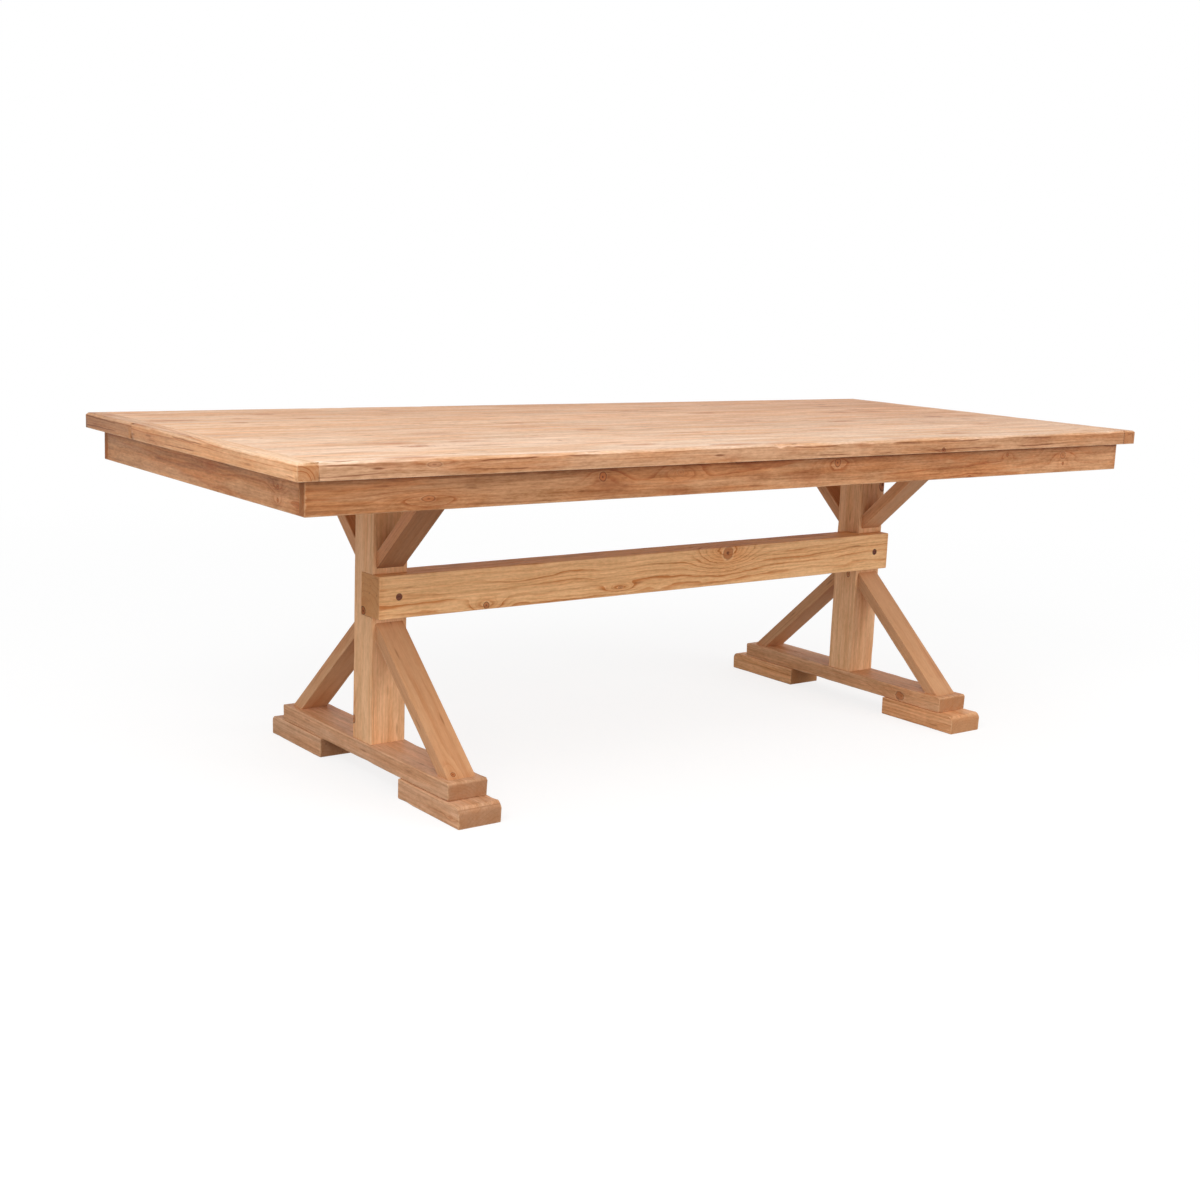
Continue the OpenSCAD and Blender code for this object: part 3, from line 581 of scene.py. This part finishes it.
def strewnKnots(dice, half):  # in the board's own frame, each on one of its four long faces
    knots = []
    for _ in range(int(2 * half.x * scatter["perMetre"] + dice.random())):
        along = dice.uniform(-0.92, 0.92) * half.x
        side = dice.choice((-1, 1))
        onEdge = dice.random() < half.z / (half.y + half.z)
        across = side * half.y if onEdge else dice.uniform(-0.8, 0.8) * half.y
        deep = dice.uniform(-0.7, 0.7) * half.z if onEdge else side * half.z
        drawn = {name: dice.uniform(*scatter[name]) for name in ("radius", "dark", "rise")}
        knots.append({**plainKnot, "local": Vector((along, across, deep)), **drawn})
    return knots


def pineMaterial(node, turn, centre, half):
    kind = kindOf(node)
    look = {**plainLook, "Side tint": (1, 1, 1), **woodLooks[kind["wood"]], **woodLooks.get(node, {})}
    dice = random.Random(node)
    material = newMaterial("pine_" + node)
    coordinate = put("ShaderNodeTexCoord", tree=material.node_tree).outputs
    turned = turn.to_euler()

    def mapped(source, middle, rotation):
        return put("ShaderNodeMapping", Vector=source, Location=-middle, Rotation=rotation).outputs[0]

    place = mapped(coordinate["Object"], turn @ centre, turned)
    facing = put("ShaderNodeMapping", {"vector_type": "VECTOR"}, Vector=coordinate["Normal"], Rotation=turned)
    if isTop(kind):
        edgePlace, edgeHalf = mapped(coordinate["Object"], topMiddle, (0, 0, 0)), topHalf
    else:  # the ends that sit against another timber don't wear
        jointed = node.startswith(("post", "upper_brace", "lower_brace", "apron_left", "apron_right"))
        edgePlace, edgeHalf = place, half + Vector((1 if jointed else 0, 0, 0))

    gap = look["Ring gap"] * dice.uniform(*boardLuck["gap"])
    swung = math.cos(dice.uniform(0, 2 * math.pi))
    depth = dice.uniform(*boardLuck["heartDepth"])
    if half.z < half.y:  # the heart lies behind the wide faces
        heart = Vector((0, swung * half.y, -half.z - depth))
    else:
        heart = Vector((0, half.y + depth, swung * half.z))
    if node in heartPlaces:
        heart = turn @ (Vector(heartPlaces[node]) - centre)
        heart.x = 0.0
    carried = handedOn
    knots = [{**placed, "local": turn @ (placed["at"] - centre)} for placed in knotPlaces.get(node, [])]
    for each in knots + strewnKnots(dice, half):
        size = each["radius"]
        marks = {name.capitalize(): each[name] for name in ("dark", "soft", "reach", "glow", "rim")}
        spread = (1 / (size * each["long"]), 1 / size, 1 / size)
        mark = put("ShaderNodeGroup", {"node_tree": knotGroup}, Place=place, Centre=each["local"],
                   Spread=spread, Rise=each["rise"] * gap, **marks, **carried)
        carried = {name: mark.outputs[name] for name in carried}
    luck = dice.uniform(*boardLuck["brightness"])
    pale, farPale = ((*(luck * share * value for share, value in zip(tone, colour(*look["Pale"]))), 1.0)
                     for tone in boardTonesAndShade.get(node, ((1, 1, 1), (1, 1, 1))))
    values = {
        **look, **carried, "Place": place, "Facing": facing.outputs[0], "Edge place": edgePlace,
        "Half": edgeHalf, "Half length": half.x, "Heart": heart, "Ring gap": gap,
        "Seed": Vector([dice.uniform(0, 20) for _ in range(3)]),
        "Slope": (0, dice.uniform(*boardLuck["slope"]), dice.uniform(*boardLuck["slope"])),
        "Pale": pale, "Far pale": farPale, "Side tint": (*look["Side tint"], 1.0),
    }
    body = put("ShaderNodeGroup", {"node_tree": pineGroup}, **values).outputs
    return finishMaterial(material, *(body[name] for name in pineResults), pineLook["bump"], pineLook["gloss"])


# Timbers: each is a copy of its CAD piece, joints and all, with eased and worn edges

wear = {
    "share": 0.55,  # how much the eased width varies
    "dent": 3.0,  # how much wider it gets where the edge is bruised
    "calm": 0.8,  # the table's own edge is a little straighter
    "rim": 0.0055,  # metres from the table's edge that count as its rim
    "topReach": 0.0068,  # metres of the table's edge that move
    "reach": 1.2,  # of the other edges, in eased widths
    "waves": 11,  # per metre
    "bruises": 29,
    "bruiseFrom": 0.28,  # a higher value gives fewer bruises
}


def plainMesh(thing, name):  # what the modifiers make, as a mesh of its own
    graph = bpy.context.evaluated_depsgraph_get()
    whole = thing.evaluated_get(graph)
    mesh = bpy.data.meshes.new_from_object(whole, preserve_all_data_layers=True, depsgraph=graph)
    mesh.name = name
    thing.modifiers.clear()
    thing.data = mesh


def easedPiece(name, mesh, widest, widthOf, segments=3):  # rounds each edge by its own width
    weights = mesh.edges.layers.float.new("bevel_weight_edge")
    for edge in mesh.edges:
        edge[weights] = widthOf(edge) / widest
        edge.smooth = edge[weights] > 0 or not edge.is_manifold or edge.calc_face_angle() < crease
    piece = newObject(name, bpy.data.meshes.new(name))
    mesh.to_mesh(piece.data)
    mesh.free()
    oldNormals = piece.data.attributes.get("custom_normal")  # they no longer fit the joined faces
    if oldNormals:
        piece.data.attributes.remove(oldNormals)
    bevel = piece.modifiers.new("ease", "BEVEL")
    bevel.limit_method = "WEIGHT"
    bevel.width = widest
    bevel.segments = segments
    bevel.use_clamp_overlap = False
    plainMesh(piece, name)
    return piece


def finishPiece(piece, node, material):  # flat faces shade flat and rounded corners shade round
    piece.data.shade_smooth()
    weighted = piece.modifiers.new("flatFaces", "WEIGHTED_NORMAL")
    weighted.keep_sharp = True
    weighted.weight = 90
    plainMesh(piece, piece.name)
    dress(piece, material)
    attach(piece, "root")
    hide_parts(node)


def easedWidth(edge, turn, kind):
    if not edge.is_manifold or edge.calc_face_angle_signed(0) < crease or edge.calc_length() < 0.004:
        return 0.0
    first, second = edge.verts[0].co, edge.verts[1].co
    if isTop(kind):  # the seams between planks are only broken, and the table's own edges are rounded
        rim = topHalf - Vector((abs(value) for value in (first + second) / 2 - topMiddle))
        onRim = min(rim.x, rim.y) < wear["rim"]
        onFace = rim.z < wear["rim"] or 2 * topHalf.z - rim.z < touching
        if not onFace or abs(first.z - second.z) >= touching:
            return 0.0
        return kind["ease"] if onRim else kind["ends"]
    direction = turn @ (second - first).normalized()
    return kind["ease"] if abs(direction.x) > 0.95 else kind["ends"]


def wearEdges(mesh, turn, centre, half, reach, calm=1.0):  # widens and narrows the eased corners, not the faces
    for vertex in mesh.vertices:
        local = turn @ (vertex.co - centre)
        gaps = [half[i] - abs(local[i]) for i in range(3)]
        close = [i for i in range(3) if -touching < gaps[i] < reach]
        if len(close) < 2:
            continue
        soft = noise.noise(vertex.co * wear["waves"])
        bruise = max(0.0, noise.noise(vertex.co * wear["bruises"] + centre) - wear["bruiseFrom"])
        factor = 1 + calm * (wear["share"] * soft + wear["dent"] * bruise)
        for i in close:
            local[i] = math.copysign(half[i] - gaps[i] * factor, local[i])
        vertex.co = centre + turn.transposed() @ local


def makeTimber(node):
    kind = kindOf(node)
    mesh = cleanCopy(node)
    turn, centre = grainFrame(node, mesh)
    corners = [turn @ (vertex.co - centre) for vertex in mesh.verts]
    half = Vector([max(abs(point[i]) for point in corners) for i in range(3)])
    along = turn[0]
    reach = half.x - kind["slant"]  # the slanted ends stay whole
    steps = int(2 * reach / kind["step"])
    for i in range(1, steps):
        spot = centre + along * (2 * reach * i / steps - reach)
        bmesh.ops.bisect_plane(mesh, geom=mesh.verts[:] + mesh.edges[:] + mesh.faces[:], dist=1e-6,
                               plane_co=spot, plane_no=along)
    widest = max(kind["ease"], kind["ends"])
    piece = easedPiece(node + "_timber", mesh, widest, lambda edge: easedWidth(edge, turn, kind))
    if isTop(kind):
        wearEdges(piece.data, Matrix.Identity(3), topMiddle, topHalf, wear["topReach"], wear["calm"])
    else:
        wearEdges(piece.data, turn, centre, half, widest * wear["reach"])
    finishPiece(piece, node, pineMaterial(node, turn, centre, half))


notTimber = ("apron_buttons", "bearer_screws", "bearer_washers", "stretcher_")
timberNodes = [node for node in sorted(cadNodes)
               if node.startswith(tuple(timberKinds)) and not node.startswith(notTimber)]
for timberNode in timberNodes:
    makeTimber(timberNode)
print("timbers made:", len(timberNodes))


# Beech for buttons, corner blocks and dowels: short pale grain with small dark rays

beechLook = {
    "pale": colour(205, 170, 130),
    "deep": colour(176, 136, 98),
    "ray": colour(140, 98, 66),
    "rays": (260, 260, 700),  # small dark dashes: how many to a metre on each axis
    "broad": (24, 24, 60),
    "patches": (0.35, 0.65),
    "fine": (180, 180, 420),
    "streaks": (0.5, 0.8, 0.0, 0.3),
    "rough": (0.5, 0.68),
    "bump": (0.4, 0.0004),
}
smallEase = {"blocks": 0.001, "buttons": 0.0008}  # eased width in metres


def smallMaterial(name, look, *glossAndMetal):
    material = newMaterial(name)
    place = objectPlace(material.node_tree)
    fine = cloud(place, look["fine"])[0]
    base = tint(ramp(cloud(place, look["broad"], 3.0)[0], *look["patches"]), look["pale"], look["deep"])
    if "ray" in look:
        ray = ramp(cells(place, look["rays"])["Distance"], 0.3, 0.12)
        base = tint(times(ray, 0.45), base, look["ray"])
    if "streaks" in look:
        base = tint(ramp(fine, *look["streaks"]), base, look["deep"])
    rough = ramp(fine, 0.3, 0.7, *look["rough"])
    return finishMaterial(material, base, rough, fine, look["bump"], *glossAndMetal)


beech = smallMaterial("beech_planed", beechLook, 0.3)


def makeBlocks(node, ease):  # eased copies, all in one mesh where the CAD has them in one node
    def widthOf(edge):
        sharp = edge.is_manifold and edge.calc_face_angle_signed(0) > math.radians(40)
        return ease if sharp and edge.calc_length() > 0.005 else 0.0
    finishPiece(easedPiece(node + "_wood", cleanCopy(node), ease, widthOf, 2), node, beech)


for blockNode in sorted(cadNodes):
    if blockNode.startswith("corner_block"):
        makeBlocks(blockNode, smallEase["blocks"])
makeBlocks("apron_buttons", smallEase["buttons"])
dress(cadNodes["brace_dowels"], beech)
print("beech pieces made")


# Steel: zinc plate with a faint brushed sheen, a little duller in patches

steelLook = {
    "pale": colour(214, 216, 220),
    "deep": colour(168, 170, 172),
    "broad": (300, 300, 300),
    "patches": (0.35, 0.7),
    "fine": (900, 2600, 900),
    "rough": (0.26, 0.42),
    "bump": (0.2, 0.0001),
}
zinc = smallMaterial("zinc_plate", steelLook, 0.5, 1.0)
for steelNode in ("stretcher_bolts", "stretcher_washers", "stretcher_nuts"):
    dress(cadNodes[steelNode], zinc)


# Screws and washers: one shape in a geometry tree, set at every place where the CAD has one

hardwareSizes = {  # in metres; the last one of each is measured on the CAD piece
    "countersunkScrew": {"Shank": 0.005, "Head": 0.01, "Slot width": 0.0011, "Slot depth": 0.0014,
                         "Pitch": 0.0022, "Length": 0.04},
    "coachScrew": {"Shank": 0.008, "Flats": 0.013, "Head height": 0.0055, "Pitch": 0.0032, "Length": 0.06},
    "washer": {"Outer": 0.02, "Hole": 0.0083, "Thickness": 0.0016},
}
screwShape = {
    "core": 0.84,  # of the shank's radius; the thread stands on it
    "tip": 0.2,  # the same, at the point
    "wound": 0.72,  # how much of a countersunk screw has a thread
    "coachWound": 0.66,
    "cap": 0.15,  # the domed share of a coach screw's head
}


def solidPlaces(node):  # for each solid of a node: its low corner, its high corner and all its points
    mesh = mergedCopy(node)
    left = set(mesh.verts)
    places = []
    while left:
        island = [left.pop()]
        for vertex in island:  # it grows while it is walked
            beside = {edge.other_vert(vertex) for edge in vertex.link_edges} & left
            left -= beside
            island.extend(beside)
        points = [vertex.co.copy() for vertex in island]
        low, high = (Vector([pick(point[i] for point in points) for i in range(3)]) for pick in (min, max))
        places.append((low, high, points))
    mesh.free()
    return sorted(places, key=lambda place: tuple(place[0]))


def screwPlaces(node):  # for each screw: the middle of its head, the way it points and its length
    found = []
    for low, high, points in solidPlaces(node):
        size = high - low
        axis = max(range(3), key=lambda i: size[i])
        middle = (low + high) / 2

        def spread(level):
            return max((point - middle).length for point in points if abs(point[axis] - level) < touching)
        headLow = spread(low[axis]) > spread(high[axis])
        head, aim = middle.copy(), Vector((0, 0, 0))
        head[axis] = low[axis] if headLow else high[axis]
        aim[axis] = 1.0 if headLow else -1.0
        found.append((head, aim, size[axis]))
    return sorted(found, key=lambda item: tuple(item[0]))


def washerPlaces(node):
    return [(Vector(((low.x + high.x) / 2, (low.y + high.y) / 2, low.z)), Vector((0, 0, 1)), high.z - low.z)
            for low, high, _ in solidPlaces(node)]


def pointsObject(name, places):  # one vertex for each place, with the way it aims as an attribute
    mesh = bpy.data.meshes.new(name)
    mesh.from_pydata([place[0] for place in places], [], [])
    aims = mesh.attributes.new("aim", "FLOAT_VECTOR", "POINT")
    for item, place in zip(aims.data, places):
        item.vector = place[1]
    turns = mesh.attributes.new("spin", "FLOAT", "POINT")
    dice = random.Random(name)
    for item in turns.data:
        item.value = dice.uniform(0, math.pi)
    return newObject(name, mesh)


def moved(geometry, height):
    lift = put("ShaderNodeCombineXYZ", tree=geometry.id_data, Z=height).outputs[0]
    return put("GeometryNodeTransform", Geometry=geometry, Translation=lift).outputs[0]


def joined(*parts):
    made = put("GeometryNodeJoinGeometry", tree=parts[0].id_data)
    for part in reversed(parts):
        feed(made.inputs[0], part)
    return made.outputs[0]


def swept(curve, profile, caps=False):
    ends = {"Profile Curve": profile.outputs[0], "Fill Caps": caps}
    return put("GeometryNodeCurveToMesh", Curve=curve.outputs[0], **ends).outputs[0]


def tube(sides, top, bottom, height, base):  # a cone or cylinder that stands on the height base
    sizes = {"Radius Top": top, "Radius Bottom": bottom, "Depth": height}
    cone = put("GeometryNodeMeshCone", {"fill_type": "NGON"}, Vertices=sides, **sizes)
    return moved(cone.outputs["Mesh"], base)


def thread(radius, pitch, start, length, depth):  # a small ridge that winds round the shank
    radii = {"Start Radius": radius, "End Radius": radius}
    spiral = put("GeometryNodeCurveSpiral", Resolution=12, Rotations=over(length, pitch),
                 Height=length, **radii)
    ridge = put("GeometryNodeCurvePrimitiveCircle", Resolution=4, Radius=depth)
    return moved(swept(spiral, ridge, True), start)


def shaft(entry, headH, sides, wound):  # core, tip and thread; the tip is as long as the shank is thick
    shankR = times(entry["Shank"], 0.5)
    coreR = times(shankR, screwShape["core"])
    bodyH = minus(entry["Length"], headH, entry["Shank"])
    windH = times(bodyH, wound)
    core = tube(sides, coreR, coreR, bodyH, headH)
    tip = tube(sides, times(shankR, screwShape["tip"]), coreR, entry["Shank"], plus(headH, bodyH))
    start = plus(headH, minus(bodyH, windH))
    return core, tip, thread(coreR, entry["Pitch"], start, windH, minus(shankR, coreR))


def countersunkShape(entry):
    shankR, headR = (times(entry[name], 0.5) for name in ("Shank", "Head"))
    headH = minus(headR, shankR)
    head = tube(28, shankR, headR, headH, 0.0)
    arm = times(entry["Head"], 0.52)
    deep = times(entry["Slot depth"], 2.0)
    cut = put("GeometryNodeMeshBoolean", {"operation": "DIFFERENCE", "solver": "EXACT"}, **{"Mesh 1": head})
    for x, y in ((arm, entry["Slot width"]), (entry["Slot width"], arm)):  # the two bars of the cross
        size = put("ShaderNodeCombineXYZ", X=x, Y=y, Z=deep).outputs[0]
        feed(cut.inputs["Mesh 2"], put("GeometryNodeMeshCube", Size=size).outputs["Mesh"])
    return joined(cut.outputs["Mesh"], *shaft(entry, headH, 20, screwShape["wound"]))


def coachShape(entry):
    headH = entry["Head height"]
    cornerR = times(entry["Flats"], 0.5 / math.cos(math.pi / 6))
    capH = times(headH, screwShape["cap"])
    cap = tube(6, cornerR, times(cornerR, 0.9), capH, 0.0)
    head = tube(6, cornerR, cornerR, times(headH, 1 - screwShape["cap"]), capH)
    return joined(cap, head, *shaft(entry, headH, 24, screwShape["coachWound"]))


def washerShape(entry):
    outerR, holeR = (times(entry[name], 0.5) for name in ("Outer", "Hole"))
    middleR = times(plus(outerR, holeR), 0.5)
    ring = put("GeometryNodeCurvePrimitiveCircle", Resolution=40, Radius=middleR)
    section = put("GeometryNodeCurvePrimitiveQuadrilateral", Width=minus(outerR, holeR),
                  Height=entry["Thickness"])
    return moved(swept(ring, section), times(entry["Thickness"], 0.5))


def hardwareTree(name, shapeOf):  # sets the shape on every point, turned the way the point aims
    inputs = {"Geometry": ("Geometry", None), **numbers(hardwareSizes[name])}
    tree, entry, leave = newGroup(name, "GeometryNodeTree", inputs, {"Geometry": "Geometry"})
    aim, spin = (put("GeometryNodeInputNamedAttribute", {"data_type": kind}, tree, Name=label).outputs[0]
                 for label, kind in (("aim", "FLOAT_VECTOR"), ("spin", "FLOAT")))
    turn = put("FunctionNodeAlignRotationToVector", {"axis": "Z"}, Vector=aim)
    twist = put("FunctionNodeAxisAngleToRotation", Axis=(0, 0, 1), Angle=spin)
    both = put("FunctionNodeRotateRotation", {"rotation_space": "LOCAL"}, tree)
    fill(both, turn.outputs[0], twist.outputs[0])
    instances = put("GeometryNodeInstanceOnPoints", Points=entry["Geometry"], Instance=shapeOf(entry),
                    Rotation=both.outputs[0])
    real = put("GeometryNodeRealizeInstances", Geometry=instances.outputs[0])
    finish = put("GeometryNodeSetMaterial", Geometry=real.outputs[0], Material=zinc)
    feed(leave["Geometry"], finish.outputs[0])
    return tree


def setHardware(node, tree, places, measured="Length"):
    piece = pointsObject(node + "_steel", places)
    modifier = piece.modifiers.new("hardware", "NODES")
    modifier.node_group = tree
    socket = next(item for item in tree.interface.items_tree if item.name == measured)
    modifier[socket.identifier] = places[0][2]
    plainMesh(piece, node + "_steel")
    mesh = bmesh.new()
    mesh.from_mesh(piece.data)
    bmesh.ops.recalc_face_normals(mesh, faces=mesh.faces)
    mesh.to_mesh(piece.data)
    mesh.free()
    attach(piece, "root")
    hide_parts(node)


countersunk = hardwareTree("countersunkScrew", countersunkShape)
for screwNode in ("corner_screws", "button_screws", "batten_screws", "pad_screws"):
    setHardware(screwNode, countersunk, screwPlaces(screwNode))
setHardware("bearer_screws", hardwareTree("coachScrew", coachShape), screwPlaces("bearer_screws"))
setHardware("bearer_washers", hardwareTree("washer", washerShape), washerPlaces("bearer_washers"),
            "Thickness")
print("hardware set")


# Plugs: sunk a hair under the face, with an eased rim

plugLook = {
    "sunk": 0.0004,  # metres below the face
    "rim": 0.0008,
    "pale": colour(134, 78, 52),
    "deep": colour(88, 44, 28),
    "broad": (110, 110, 300),
    "patches": (0.35, 0.65),
    "fine": (500, 500, 1600),
    "streaks": (0.5, 0.75, 0.0, 0.5),
    "rough": (0.45, 0.65),
    "bump": (0.4, 0.0004),
}
darkPlug = smallMaterial("dark_plug", plugLook, 0.3)


def makePlugs(node, outward):
    mesh = cleanCopy(node)
    face = max(vertex.co.y * outward for vertex in mesh.verts)
    for vertex in mesh.verts:
        if abs(vertex.co.y * outward - face) < touching:
            vertex.co.y -= outward * plugLook["sunk"]

    def widthOf(edge):
        return plugLook["rim"] if edge.calc_face_angle() > math.radians(60) else 0.0
    finishPiece(easedPiece(node + "_wood", mesh, plugLook["rim"], widthOf), node, darkPlug)


makePlugs("front_plugs", -1)
makePlugs("back_plugs", 1)
print("plugs made")


# Floor, daylight and lamps

studio = {
    "floorSize": 60.0,
    "floorBounce": (0.55, 0.55, 0.55, 1.0),
    "floorSeen": (0.25, 0.25, 0.25, 1.0),
    "floorLift": 0.795,  # light that only the camera sees, so that the floor looks white
    "floorWhite": (1.6, 4.5),  # metres from the table over which it turns plain white, without a horizon
    "ambient": 0.65,
}
lampValues = {  # place, aim, size in metres and power in watts
    "keyBox": {"place": (-2.8, -1.9, 2.9), "aim": (-0.6, -0.2, 0.5), "size": 2.2, "power": 66},
    "sideBox": {"place": (2.0, -4.3, 2.3), "aim": (0.1, 0.0, 0.35), "size": 2.4, "power": 68},
    "lowBox": {"place": (-7.0, -2.2, 0.7), "aim": (0.7, 0.0, 0.4), "size": 2.0, "power": 22},
}


def backdropShare(tree):  # 1 for what the eye sees straight, in a reflection or through glass
    rays = put("ShaderNodeLightPath", tree=tree).outputs
    mirrored = highest(rays["Is Glossy Ray"], rays["Is Transmission Ray"])
    return highest(rays["Is Camera Ray"], mirrored)


def blended(share, first, second):
    return fill(put("ShaderNodeMixShader", tree=share.id_data), share, first, second).outputs[0]


def glowing(tree, strength):
    return put("ShaderNodeEmission", tree=tree, Color=(1, 1, 1, 1), Strength=strength).outputs[0]


def makeFloor():
    half = studio["floorSize"] / 2
    mesh = bpy.data.meshes.new("floor")
    corners = [(half * x, half * y, 0) for x, y in ((-1, -1), (1, -1), (1, 1), (-1, 1))]
    mesh.from_pydata(corners, [], [(0, 1, 2, 3)])
    floor = newObject("floor", mesh)
    material = newMaterial("paleFloor")
    tree = material.node_tree
    tree.nodes.clear()
    bounce, faint = (put("ShaderNodeBsdfDiffuse", tree=tree, Color=studio[name]).outputs[0]
                     for name in ("floorBounce", "floorSeen"))
    lifted = fill(put("ShaderNodeAddShader", tree=tree), faint, glowing(tree, studio["floorLift"])).outputs[0]
    seen = blended(put("ShaderNodeLightPath", tree=tree).outputs["Is Camera Ray"], bounce, lifted)
    away = vector("LENGTH", vector("MULTIPLY", objectPlace(tree), (1, 1, 0)))
    share = times(ramp(away, *studio["floorWhite"]), backdropShare(tree))
    put("ShaderNodeOutputMaterial", Surface=blended(share, seen, glowing(tree, 1.0)))
    mesh.materials.append(material)


def makeDaylight():
    world = bpy.data.worlds.new("daylight")
    world.use_nodes = True
    scene.world = world
    tree = world.node_tree
    back = tree.nodes["Background"]
    back.inputs["Color"].default_value = (1, 1, 1, 1)
    feed(back.inputs["Strength"], ramp(backdropShare(tree), 0.0, 1.0, studio["ambient"], 1.0))


def makeLamps():
    for name, value in lampValues.items():
        lamp = bpy.data.lights.new(name, "AREA")
        lamp.energy = value["power"]
        lamp.size = value["size"]
        holder = newObject(name, lamp)
        holder.location = value["place"]
        aim = Vector(value["aim"]) - Vector(value["place"])
        holder.rotation_euler = aim.to_track_quat("-Z", "Y").to_euler()


makeFloor()
makeDaylight()
makeLamps()
print("studio lit")


cameraView = {  # metres and degrees; turn is from straight along +Y
    "place": (-2.5543, -3.1708, 1.1161),
    "turn": -37.358,
    "tilt": -10.942,
    "roll": 2.271,
    "lens": 50.63,  # in millimetres, as is the sensor
    "sensor": 36.0,
    "farthest": 200.0,
}


def makeCamera():
    turn, tilt, roll = (math.radians(cameraView[name]) for name in ("turn", "tilt", "roll"))
    ahead = Vector((-math.sin(turn) * math.cos(tilt), math.cos(turn) * math.cos(tilt), math.sin(tilt)))
    level = Vector((math.cos(turn), math.sin(turn), 0))
    upright = level.cross(ahead)
    right = level * math.cos(roll) + upright * math.sin(roll)
    up = upright * math.cos(roll) - level * math.sin(roll)
    lens = bpy.data.cameras.new("eye")
    lens.lens = cameraView["lens"]
    lens.sensor_width = cameraView["sensor"]
    lens.clip_end = cameraView["farthest"]
    holder = newObject("eye", lens)
    turnMatrix = Matrix((right, up, -ahead)).transposed().to_4x4()
    holder.matrix_world = Matrix.Translation(cameraView["place"]) @ turnMatrix
    scene.camera = holder


makeCamera()
print("camera set")
